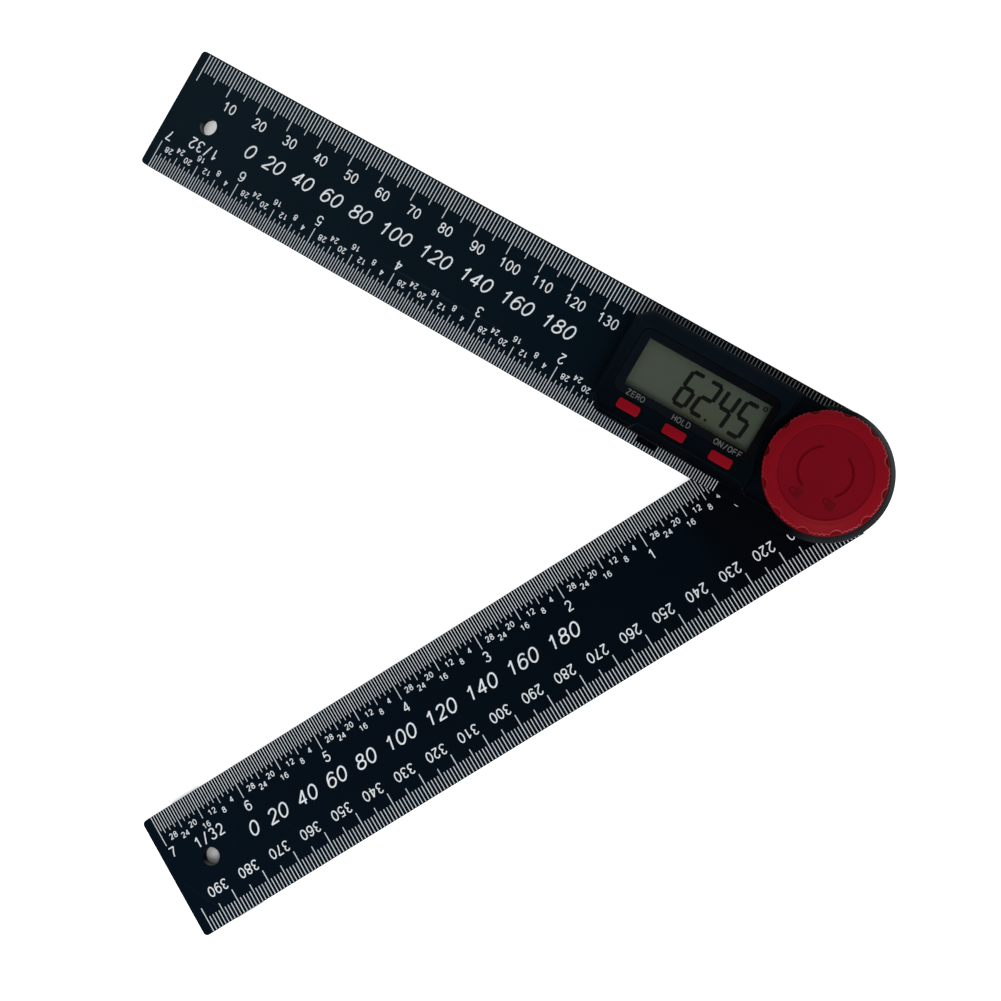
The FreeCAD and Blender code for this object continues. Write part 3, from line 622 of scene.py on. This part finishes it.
def addStrokes(bm, strokes, place, width, rise):
    # each stroke is a row of flat points in metres, drawn as a low ridge with closed ends
    curve = bpy.data.curves.new("strokes", "CURVE")
    curve.dimensions = "3D"
    curve.bevel_depth = 0.5
    curve.bevel_resolution = 0
    curve.use_fill_caps = True
    for points in strokes:
        spline = curve.splines.new("POLY")
        closed = math.dist(points[0], points[-1]) < 0.01 * mm
        points = points[:-1] if closed else points
        spline.use_cyclic_u = closed
        spline.points.add(len(points) - 1)
        for point, (x, y) in zip(spline.points, points):
            point.co = (x, y, 0.0, 1.0)
            point.radius = width
    holder = bpy.data.objects.new("strokes", curve)
    mesh = bpy.data.meshes.new_from_object(holder)
    mesh.transform(place @ Matrix.Diagonal((1.0, 1.0, 2 * rise / width, 1.0)))
    bm.from_mesh(mesh)
    bpy.data.objects.remove(holder)
    bpy.data.curves.remove(curve)
    bpy.data.meshes.remove(mesh)


def addText(bm, text, place, height, advance, width, rise, slant=0.0):
    # place is a matrix: the text runs along its X from its origin and stands along its Y
    wide = advance * glyphWide - width
    strokes = []
    for i, letter in enumerate(text):
        left = (i + glyphMargin) * advance + width / 2
        for points in glyphs.get(letter, ()):
            row = [(left + x * wide, width / 2 + y * (height - width)) for x, y in points]
            strokes.append([(x + slant * y, y) for x, y in row])
    addStrokes(bm, strokes, place, width, rise)


# scales printed on the arms

scale = {       # mm; across is measured from an arm's middle line
    "mmEnds": (12.5, 10.9, 9.55),       # inner ends of the 1, 5 and 10 mm marks
    "inchEnds": {32: 13.5, 16: 12.5, 8: 12.5, 4: 11.45, 2: 10.5, 1: 9.3},       # by part of an inch
    "thin": 0.228, "thick": 0.262, "inchThin": 0.192, "inchThick": 0.225,
    "reach": 200.0, "inchZero": -22.2, "inch": 25.4, "inches": 7, "parts": 32,
    "mmFoot": 5.9, "mmHeight": 3.0, "mmAdvance": 2.1, "mmStroke": 0.39,
    "inchFoot": 5.55, "inchHeight": 2.95, "inchAdvance": 2.2, "inchStroke": 0.38,
    "smallFeet": {4: 9.95, 8: 8.6, 16: 7.65},
    "smallHeight": 1.7, "smallAdvance": 1.28, "smallStroke": 0.26,
    "rise": 0.02,                       # ink above the face
    "angleHeight": 4.2, "angleFoot": -2.5, "angleStart": -178.0, "angleEnd": -73.5,
    "angleAdvance": 3.3, "angleStroke": 0.52, "slant": 0.2,
    "unitsFoot": 4.0, "unitsHeight": 3.3, "unitsStart": -193.0,
    "unitsAdvance": 2.4, "unitsStroke": 0.42,
}
angleNumbers = range(0, 200, 20)
# mm: shift and slide move the print across and along an arm, starts are the outer ends of the mm marks
# (1) and the inch marks (-1), first is the reading at the far end, and lastInch moves the 7
arms = {
    "upper": {"body": "upper_arm", "turn": 0.0, "mmSide": 1, "top": upperTop, "shift": -0.3, "slide": 0.0,
              "starts": {1: 17.1, -1: 17.44}, "first": 0, "step": 1, "labels": range(10, 140, 10),
              "labelShifts": {2: 0.3, 3: -0.75}, "lastMark": 200, "markTrim": 0.0, "lastInch": 1.2},
    "lower": {"body": "lower_arm", "turn": armAngle, "mmSide": -1, "top": lowerTop, "shift": 0.7,
              "slide": 0.2, "starts": {1: 17.36, -1: 17.44}, "first": 400, "step": -1,
              "labels": range(390, 200, -10), "labelShifts": {3: 0.0}, "lastMark": 199,
              "markTrim": 0.15, "lastInch": 0.8},
}


def textPlace(arm, x, y, towardsMm):
    # x along the arm, y across it towards the mm edge; the text stands towards either edge
    upright = (arm["mmSide"] > 0) == towardsMm
    place = turnZ(arm["turn"]) @ spot(x, arm["mmSide"] * y, arm["top"])
    return place @ turnZ(0.0 if upright else 180.0)


def addNumber(bm, arm, text, x, y, towardsMm, kind):
    # x is the text's own left end as it is read
    place = textPlace(arm, x + arm["slide"], y + arm["shift"], towardsMm)
    addText(bm, text, place, scale[kind + "Height"] * mm, scale[kind + "Advance"] * mm,
            scale[kind + "Stroke"] * mm, scale["rise"] * mm)


def addMark(bm, arm, x, inner, width, side):
    x += arm["slide"]
    ends = (arm["starts"][side] * side, inner * side + arm["shift"])
    ends = sorted(arm["mmSide"] * y * mm for y in ends)
    addBox(bm, (x - width / 2) * mm, (x + width / 2) * mm, ends[0], ends[1],
           arm["top"] - scale["rise"] * mm, arm["top"] + scale["rise"] * mm, arm["turn"])


def addMarks(bm, arm):
    for i in range(arm["lastMark"] + 1):
        length = 2 if i % 10 == 0 else (1 if i % 5 == 0 else 0)
        width = scale["thick"] if length == 2 else scale["thin"]
        addMark(bm, arm, -scale["reach"] + i, scale["mmEnds"][length] + arm["markTrim"], width, 1)
    for i in range(scale["inches"] * scale["parts"] + 1):
        part = min(size for size in scale["inchEnds"] if i % (scale["parts"] // size) == 0)
        width = scale["inchThick"] if part <= 2 else scale["inchThin"]
        x = scale["inchZero"] - i * scale["inch"] / scale["parts"]
        addMark(bm, arm, x, scale["inchEnds"][part], width, -1)


def centred(arm, x, text, kind):        # left end of an inch-side text whose middle is at x
    return x + arm["mmSide"] * scale[kind + "Advance"] * len(text) / 2


def addNumbers(bm, arm):
    for value in arm["labels"]:
        x = -scale["reach"] + (value - arm["first"]) * arm["step"]
        text = str(value)
        x += arm["labelShifts"][len(text)]
        addNumber(bm, arm, text, x, scale["mmFoot"], True, "mm")
    for i in range(scale["inches"] + 1):
        x = scale["inchZero"] - i * scale["inch"] + (arm["lastInch"] if i == scale["inches"] else 0.0)
        addNumber(bm, arm, str(i), centred(arm, x, "0", "inch"), -scale["inchFoot"], False, "inch")
    for i in range(4, scale["inches"] * scale["parts"], 4):
        part = i % scale["parts"]
        if part == 0:
            continue
        foot = scale["smallFeet"][max(size for size in scale["smallFeet"] if part % size == 0)]
        x = scale["inchZero"] - i * scale["inch"] / scale["parts"]
        addNumber(bm, arm, str(part), centred(arm, x, str(part), "small"), -foot, False, "small")


def addAngleRow(bm, arm):
    # plain row of angles along the middle, and the size of the inch scale's parts
    texts = [str(value) for value in angleNumbers]
    figures = sum(len(text) for text in texts) * scale["angleAdvance"]
    gap = (scale["angleEnd"] - scale["angleStart"] - figures) / (len(texts) - 1)
    upright = arm["mmSide"] > 0
    x = scale["angleStart"]
    for text in texts:
        foot = scale["angleFoot"] if upright else -scale["angleFoot"] - scale["angleHeight"]
        place = turnZ(arm["turn"]) @ spot(x, foot, arm["top"])
        addText(bm, text, place, scale["angleHeight"] * mm, scale["angleAdvance"] * mm,
                scale["angleStroke"] * mm, scale["rise"] * mm, scale["slant"])
        x += len(text) * scale["angleAdvance"] + gap
    text = "1/32"
    x = scale["unitsStart"] + (scale["unitsAdvance"] * len(text) if upright else 0.0)
    addNumber(bm, arm, text, x, -scale["unitsFoot"], False, "units")


def printArm(name):
    arm = arms[name]
    bm = bmesh.new()
    addMarks(bm, arm)
    marks = finishPiece(name + "_scale_marks", bm, markInk, arm["body"], "blade")
    bm = bmesh.new()
    addNumbers(bm, arm)
    addAngleRow(bm, arm)
    numbers = finishPiece(name + "_scale_numbers", bm, whiteInk, arm["body"], "blade")
    print(name, "arm printed:", len(marks.data.polygons), "and", len(numbers.data.polygons), "faces")


printArm("upper")
printArm("lower")


# mouldings: the solid's own shape with its edges rounded

mould = {"weld": 0.002 * mm, "flat": 1.0, "sharp": 30.0}        # the angles in degrees
keys = ("zero", "hold", "power")


def weldedMesh(node):
    bm = bmesh.new()
    bm.from_mesh(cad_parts[node].data)
    bmesh.ops.remove_doubles(bm, verts=bm.verts, dist=mould["weld"])
    return bm


def softened(node, name, body, slotName, width, segments=3, edgePaint=None):
    bm = weldedMesh(node)
    bmesh.ops.dissolve_limit(bm, angle_limit=math.radians(mould["flat"]),
                             verts=bm.verts, edges=bm.edges)
    sharp = [edge for edge in bm.edges
             if len(edge.link_faces) == 2 and edge.calc_face_angle() > math.radians(mould["sharp"])]
    rounds = bmesh.ops.bevel(bm, geom=sharp, offset=width * mm, offset_type="OFFSET", affect="EDGES",
                             segments=segments, profile=0.5, material=-1, clamp_overlap=True)["faces"]
    for face in rounds:
        face.material_index = 1 if edgePaint else 0
    piece = finishPiece(name, bm, paints[node], body, slotName, node)
    if edgePaint:
        piece.data.materials.append(edgePaint)
    smoothed(piece)


softened("display_housing", "housing_shell", "upper_arm", "housing", width=0.35,
         edgePaint=paints["housingEdge"])
softened("display_lens", "display_panel", "upper_arm", "lens", width=0.12, segments=2)
softened("battery_cover", "battery_door", "upper_arm", "cover", width=0.12, segments=2)
# the keys' rounded edges carry a painted highlight, lighter than the caps
for key in keys:
    softened(key + "_button", key + "_key_cap", key + "_key", "button", width=0.3,
             edgePaint=paints["keyEdgeHighlight"])
print("housing and keys rounded")


def makeDome(key):
    node = key + "_dome"
    bm = weldedMesh(node)
    dome = finishPiece(key + "_rubber_dome", bm, paints[node], "upper_arm", "seal_rubber", node)
    smoothed(dome)
    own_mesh(dome)


for key in keys:
    makeDome(key)
print("domes made")


# reading on the display, drawn in seven-part figures

reading = {     # mm
    "text": "6245", "feet": (-42.45, -37.35, -32.05, -26.85), "foot": -3.6, "height": 10.3, "width": 4.3,
    "bar": 1.08, "barEnd": 0.58, "barPoint": 1.15,      # the last two in shares of a bar's width
    "slant": 0.1, "rise": 0.04,
    "point": (-32.4, -3.15), "pointRadius": 0.4, "degree": (-20.7, 6.6), "degreeRadii": (0.3, 0.66),
}
lit = {"2": "abged", "4": "fgbc", "5": "afgcd", "6": "afgedc"}      # bars of each figure that show
barEnds = {     # the two corners that a bar joins: left or right, and low, middle or high
    "a": ((0, 2), (1, 2)), "b": ((1, 1), (1, 2)), "c": ((1, 0), (1, 1)), "d": ((0, 0), (1, 0)),
    "e": ((0, 0), (0, 1)), "f": ((0, 1), (0, 2)), "g": ((0, 1), (1, 1)),
}


def addBar(bm, start, end, width):
    # a bar with pointed ends between two corners of a figure
    direction = Vector(end) - Vector(start)
    form = Matrix.Diagonal((1.0, reading["barPoint"], 1.0, 1.0)) @ turnZ(90.0)
    bar = bmesh.ops.create_circle(bm, cap_ends=True, segments=6, radius=width * mm / 2,
                                  matrix=form)["verts"]
    stretch = direction.length * mm / 2 - reading["barEnd"] * width * mm
    for vert in bar:
        vert.co.x += math.copysign(stretch, vert.co.x)
    turn = Matrix.Rotation(math.atan2(direction.y, direction.x), 4, "Z")
    middle = (Vector(start) + Vector(end)) / 2 * mm
    bmesh.ops.transform(bm, matrix=Matrix.Translation((*middle, glassTop)) @ turn, verts=bar)


def thicken(bm, faces):     # closed prisms stand on the flat faces
    grown = bmesh.ops.extrude_face_region(bm, geom=faces, use_keep_orig=True)["geom"]
    bmesh.ops.translate(bm, verts=picked(grown, bmesh.types.BMVert), vec=(0, 0, reading["rise"] * mm))


def makeReading():
    bm = bmesh.new()
    for figure, left in zip(reading["text"], reading["feet"]):
        low = reading["foot"] + reading["bar"] / 2
        high = reading["foot"] + reading["height"] - reading["bar"] / 2
        middle = (low + high) / 2
        near = left + reading["bar"] / 2
        far = left + reading["width"] - reading["bar"] / 2
        corners = {(i, j): (x + reading["slant"] * (y - low), y)
                   for i, x in enumerate((near, far)) for j, y in enumerate((low, middle, high))}
        for part in lit[figure]:
            start, end = barEnds[part]
            addBar(bm, corners[start], corners[end], reading["bar"])
    bmesh.ops.create_circle(bm, cap_ends=True, segments=12, radius=reading["pointRadius"] * mm,
                            matrix=spot(*reading["point"], glassTop))
    thicken(bm, bm.faces[:])
    x, y = reading["degree"]
    inner, outer = reading["degreeRadii"]
    verts = bmesh.ops.create_circle(bm, segments=16, radius=inner * mm,
                                    matrix=spot(x, y, glassTop))["verts"]
    edges = list({edge for vert in verts for edge in vert.link_edges})
    grown = bmesh.ops.extrude_edge_only(bm, edges=edges)["geom"]
    bmesh.ops.scale(bm, verts=picked(grown, bmesh.types.BMVert), vec=(outer / inner, outer / inner, 1.0),
                    space=spot(-x, -y, 0))
    thicken(bm, picked(grown, bmesh.types.BMFace))
    finishPiece("display_reading", bm, segmentInk, "upper_arm", "display_glass")


makeReading()

keyLabels = {       # mm: the words over the keys, on the panel's lower border
    "middles": {"ZERO": -50.5, "HOLD": -37.2, "ON/OFF": -23.8},
    "foot": -7.35, "height": 1.65, "advance": 1.34, "stroke": 0.24, "rise": 0.02,
}


def makeKeyLabels():
    bm = bmesh.new()
    for text, middle in keyLabels["middles"].items():
        left = middle - keyLabels["advance"] * len(text) / 2
        addText(bm, text, spot(left, keyLabels["foot"], lensTop), keyLabels["height"] * mm,
                keyLabels["advance"] * mm, keyLabels["stroke"] * mm, keyLabels["rise"] * mm)
    finishPiece("key_labels", bm, labelInk, "upper_arm", "lens")


makeKeyLabels()
print("display lit and keys labelled")


# lock knob

knob = {        # mm; scallopPhase, groovePitch, grooveHalf and crease in degrees
    "footRadius": 15.6, "footHeight": 1.0, "gripRadius": 15.4, "shoulderDrop": 1.15,
    "crestRadius": 12.25, "crestWidth": 0.61, "wellDepth": 1.0, "boreRadius": 5.85, "underRadius": 9.0,
    "scallops": 12, "scallopPhase": 9.5, "scallopRadius": 1.9, "scallopDepth": 0.9,
    "grooves": 4, "groovePitch": 4.5, "grooveDepth": 0.24, "grooveHalf": 1.15,
    "edge": 0.22, "round": 0.12, "footRound": 0.1, "crestRounds": (0.2, 0.35), "insertSeat": 1.1,
    "segments": 720, "coneSteps": 8, "coneBend": 1.1, "crease": 38.0, "weld": 0.0005,
}
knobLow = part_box("lock_knob")[0][2]
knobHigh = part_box("lock_knob")[1][2]
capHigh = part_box("knob_cap")[1][2]


def gripRadius(angle):
    # radius of the grip at an angle in degrees: thumb scallops with fine grooves between them
    pitch = 360.0 / knob["scallops"]
    near = (angle - knob["scallopPhase"] + pitch / 2) % pitch - pitch / 2
    radius = knob["gripRadius"]
    axle = radius - knob["scallopDepth"] + knob["scallopRadius"]
    sideways = axle * math.sin(math.radians(near))
    if abs(sideways) < knob["scallopRadius"]:
        cut = axle * math.cos(math.radians(near)) - math.sqrt(knob["scallopRadius"] ** 2 - sideways ** 2)
        radius = min(radius, cut)
    between = abs(abs(near) - pitch / 2)
    groove = between % knob["groovePitch"] - knob["groovePitch"] / 2
    if between < knob["groovePitch"] * knob["grooves"] / 2 and abs(groove) < knob["grooveHalf"]:
        radius -= knob["grooveDepth"] * (1 - (groove / knob["grooveHalf"]) ** 2)
    return radius


def makeKnob():
    bm = bmesh.new()
    bmesh.ops.create_circle(bm, segments=knob["segments"], radius=knob["underRadius"] * mm,
                            matrix=spot(0, 0, knobLow))
    gripLow = knobLow + knob["footHeight"] * mm
    shoulder = knobHigh - knob["shoulderDrop"] * mm
    rise = knob["round"] * mm       # small rounds at the foot's and the crest's edges
    foot = knob["footRadius"]
    neck = foot - knob["footRound"]
    ring = ringSteps(bm, bm.edges[:], (knobLow, neck), (knobLow + rise, foot), (gripLow - rise, foot),
                     (gripLow, neck), (gripLow, gripRadius), (shoulder - rise, gripRadius))
    belowEdge = len(bm.faces)
    coneStart = knob["gripRadius"] - knob["edge"]
    steps = knob["coneSteps"]
    for i in range(steps + 1):
        cone = coneStart - (coneStart - knob["crestRadius"]) * i / steps
        bend = math.sin(math.pi / 2 * i / steps) ** knob["coneBend"]
        level = shoulder + (knobHigh - rise - shoulder) * bend
        ring = ringSteps(bm, ring, (level, lambda angle: min(cone, gripRadius(angle) - knob["edge"])))
    # a narrow crest stands round the cap's well
    inner = knob["crestRadius"] - knob["crestWidth"]
    outerRound, innerRound = knob["crestRounds"]
    well = knobHigh - knob["wellDepth"] * mm
    seat = knobLow + knob["insertSeat"] * mm
    ringSteps(bm, ring, (knobHigh, knob["crestRadius"] - outerRound), (knobHigh, inner + innerRound),
              (capHigh, inner), (well, inner), (well, knob["boreRadius"]), (seat, knob["boreRadius"]),
              (seat, knob["underRadius"]), (knobLow, knob["underRadius"]))
    for i, face in enumerate(bm.faces):     # the first ring over the grip carries the painted highlight of its edge
        face.material_index = int(belowEdge <= i < belowEdge + knob["segments"])
    bmesh.ops.remove_doubles(bm, verts=bm.verts, dist=knob["weld"] * mm)
    grip = finishPiece("knob_grip", bm, paints["lock_knob"], "lock_knob", "knob", "lock_knob")
    grip.data.materials.append(paints["knobEdgeHighlight"])
    smoothed(grip, knob["crease"])


makeKnob()

cap = {         # mm and degrees
    "radius": 11.61, "low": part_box("knob_cap")[0][2], "high": capHigh, "edge": 0.06,
    "grooveRadius": 6.8, "grooveWidth": 0.66, "grooveDepth": 0.28, "grooveFall": 0.8, "grooveSag": 0.4,
    "grooveRings": (1.8, 1.0, 0.7, 0.4, 0.0, -0.4, -0.7, -1.0, -1.8),       # in halves of its width
    "grooveEdge": 0.2, "rim": 1.0,      # limits of the groove's painted shade
    "arcs": ((121.0, 242.0), (-41.0, 65.0)), "arcFade": 4.0, "signEnds": (242.0, -41.0), "fallSpan": 70.0,
    "segments": 240,
}
locks = {       # mm: places of the two lock signs, turn in degrees, shackle's slide when open
    "signs": ((-4.3, -7.8, 88.0, 0.0), (4.1, -6.6, 86.0, 0.35)),
    "wide": 2.55, "high": 2.0, "shackle": 0.62, "leg": 0.55, "stroke": 0.34, "rise": 0.05,
}


def arcDepth(angle):        # 1 inside an engraved arc, 0 outside, with short run-outs
    depth = 0.0
    for start, end in cap["arcs"]:
        fromStart = (angle - start) % 360.0
        span = (end - start) % 360.0
        if fromStart <= span:
            depth = max(depth, min(1.0, fromStart / cap["arcFade"], (span - fromStart) / cap["arcFade"]))
    return depth


def arcRadius(angle):       # the arcs draw in towards the lock signs
    away = min(abs((angle - end + 180.0) % 360.0 - 180.0) for end in cap["signEnds"])
    sag = cap["grooveSag"] * math.sin(math.radians(angle))
    return cap["grooveRadius"] - sag - cap["grooveFall"] * max(0.0, 1.0 - away / cap["fallSpan"]) ** 2


def makeCap():
    bm = bmesh.new()
    high = cap["high"]
    bmesh.ops.create_circle(bm, segments=cap["segments"], radius=cap["radius"] * mm,
                            matrix=spot(0, 0, cap["low"]))
    ring = bm.edges[:]
    bmesh.ops.contextual_create(bm, geom=ring)
    ring = ringSteps(bm, ring, (high - cap["edge"] * mm, cap["radius"]),
                     (high, cap["radius"] - cap["edge"]))
    half = cap["grooveWidth"] / 2
    for share in cap["grooveRings"]:
        ring = ringSteps(bm, ring, (high, lambda angle: arcRadius(angle) + share * half))
        deep = math.cos(math.pi / 2 * share) if abs(share) < 1 else 0.0
        for vert in {vert for edge in ring for vert in edge.verts}:
            angle = math.degrees(math.atan2(vert.co.y, vert.co.x))
            vert.co.z -= cap["grooveDepth"] * mm * deep * arcDepth(angle)
    bmesh.ops.contextual_create(bm, geom=ring)
    engraved = high - cap["grooveEdge"] * cap["grooveDepth"] * mm
    inside = (cap["radius"] - cap["rim"]) * mm
    for face in bm.faces:       # the engraved line has its own darker colour, painted shade in the groove
        middle = face.calc_center_median()
        face.material_index = int(middle.z < engraved and middle.xy.length < inside
                                  and face.normal.z > 0.0 and len(face.verts) == 4)
    disc = finishPiece("cap_disc", bm, paints["knob_cap"], "lock_knob", "knob_cap", "knob_cap")
    disc.data.materials.append(paints["groove"])
    smoothed(disc)


def makeLockSigns():
    # small padlocks, one closed and one with its shackle slid open
    bm = bmesh.new()
    wide, high = locks["wide"] * mm, locks["high"] * mm
    bend, leg = locks["shackle"] * mm, locks["leg"] * mm
    for x, y, turn, slid in locks["signs"]:
        place = spot(x, y, cap["high"]) @ turnZ(turn)
        body = addBox(bm, -wide / 2, wide / 2, -high, 0.0, -locks["rise"] * mm, locks["rise"] * mm)
        bmesh.ops.transform(bm, matrix=place, verts=body)
        middle = slid * mm
        hoop = [(middle - bend, 0.0), *bow(middle, leg, bend, bend, 180, 0, 8), (middle + bend, 0.0)]
        addStrokes(bm, [hoop], place, locks["stroke"] * mm, locks["rise"] * mm)
    finishPiece("lock_signs", bm, paints["signs"], "lock_knob", "knob_cap")


makeCap()
makeLockSigns()
print("lock knob and cap made")


# countersunk screws with a driving cross in the underside

screwSets = {       # mm; the heads face down
    "housing": {"node": "housing_screws", "body": "upper_arm", "head": 1.7, "shank": 0.8,
                "places": ((-58.3, -8.5), (-58.3, 8.5), (-4.063, -15.165), (-4.063, 15.165))},
    "flange": {"node": "flange_screws", "body": "lower_arm", "head": 1.9, "shank": 1.0,
               "places": bow(0.0, 0.0, 6.2, 6.2, armAngle + 90.0, armAngle + 330.0, 2)},
}
screwForm = {       # mm; the cross's tip and half width in shares of the head, the turns in degrees
    "headDepth": 0.9, "edge": 0.1, "crossTip": 0.55, "crossHalf": 0.13, "crossDepth": 0.5,
    "crossStart": 0.2, "crossTaper": 0.7, "tipTaper": 0.7, "segments": 32,
    "firstTurn": 17.0, "nextTurn": 41.0,
}


def crossRadius(angle, tip, half):      # outline of a driving cross
    near = abs((angle + 45.0) % 90.0 - 45.0)
    return tip if near < 1.0 else min(tip, half / math.sin(math.radians(near)))


def addScrew(bm, low, high, head, shank, x, y, turn):
    # made head down about the origin, then turned and moved to its place
    start = len(bm.verts)
    tip, half = screwForm["crossTip"] * head, screwForm["crossHalf"] * head
    verts = bmesh.ops.create_circle(bm, segments=screwForm["segments"], radius=screwForm["crossStart"] * mm,
                                    matrix=spot(0, 0, low + screwForm["crossDepth"] * mm))["verts"]
    ring = list({edge for vert in verts for edge in vert.link_edges})
    for vert in verts:
        angle = math.atan2(vert.co.y, vert.co.x)
        radius = screwForm["crossTaper"] * crossRadius(math.degrees(angle), tip, half) * mm
        vert.co.x, vert.co.y = radius * math.cos(angle), radius * math.sin(angle)
    bmesh.ops.contextual_create(bm, geom=ring)
    ring = ringSteps(bm, ring, (low, lambda angle: crossRadius(angle, tip, half)),
                     (low, head - screwForm["edge"]), (low + screwForm["edge"] * mm, head),
                     (low + screwForm["headDepth"] * mm, shank), (high - shank * mm / 2, shank),
                     (high, shank * screwForm["tipTaper"]))
    bmesh.ops.contextual_create(bm, geom=ring)
    bm.verts.ensure_lookup_table()
    bmesh.ops.transform(bm, matrix=spot(x, y, 0) @ turnZ(turn), verts=bm.verts[start:])


def makeScrews(name):
    kind = screwSets[name]
    low, high = (corner[2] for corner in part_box(kind["node"]))
    bm = bmesh.new()
    for i, (x, y) in enumerate(kind["places"]):
        turn = screwForm["firstTurn"] + screwForm["nextTurn"] * i
        addScrew(bm, low, high, kind["head"], kind["shank"], x, y, turn)
    smoothed(finishPiece(name + "_cross_screws", bm, paints[kind["node"]], kind["body"], "steel",
                         kind["node"]))


makeScrews("housing")
makeScrews("flange")
print("screws made")
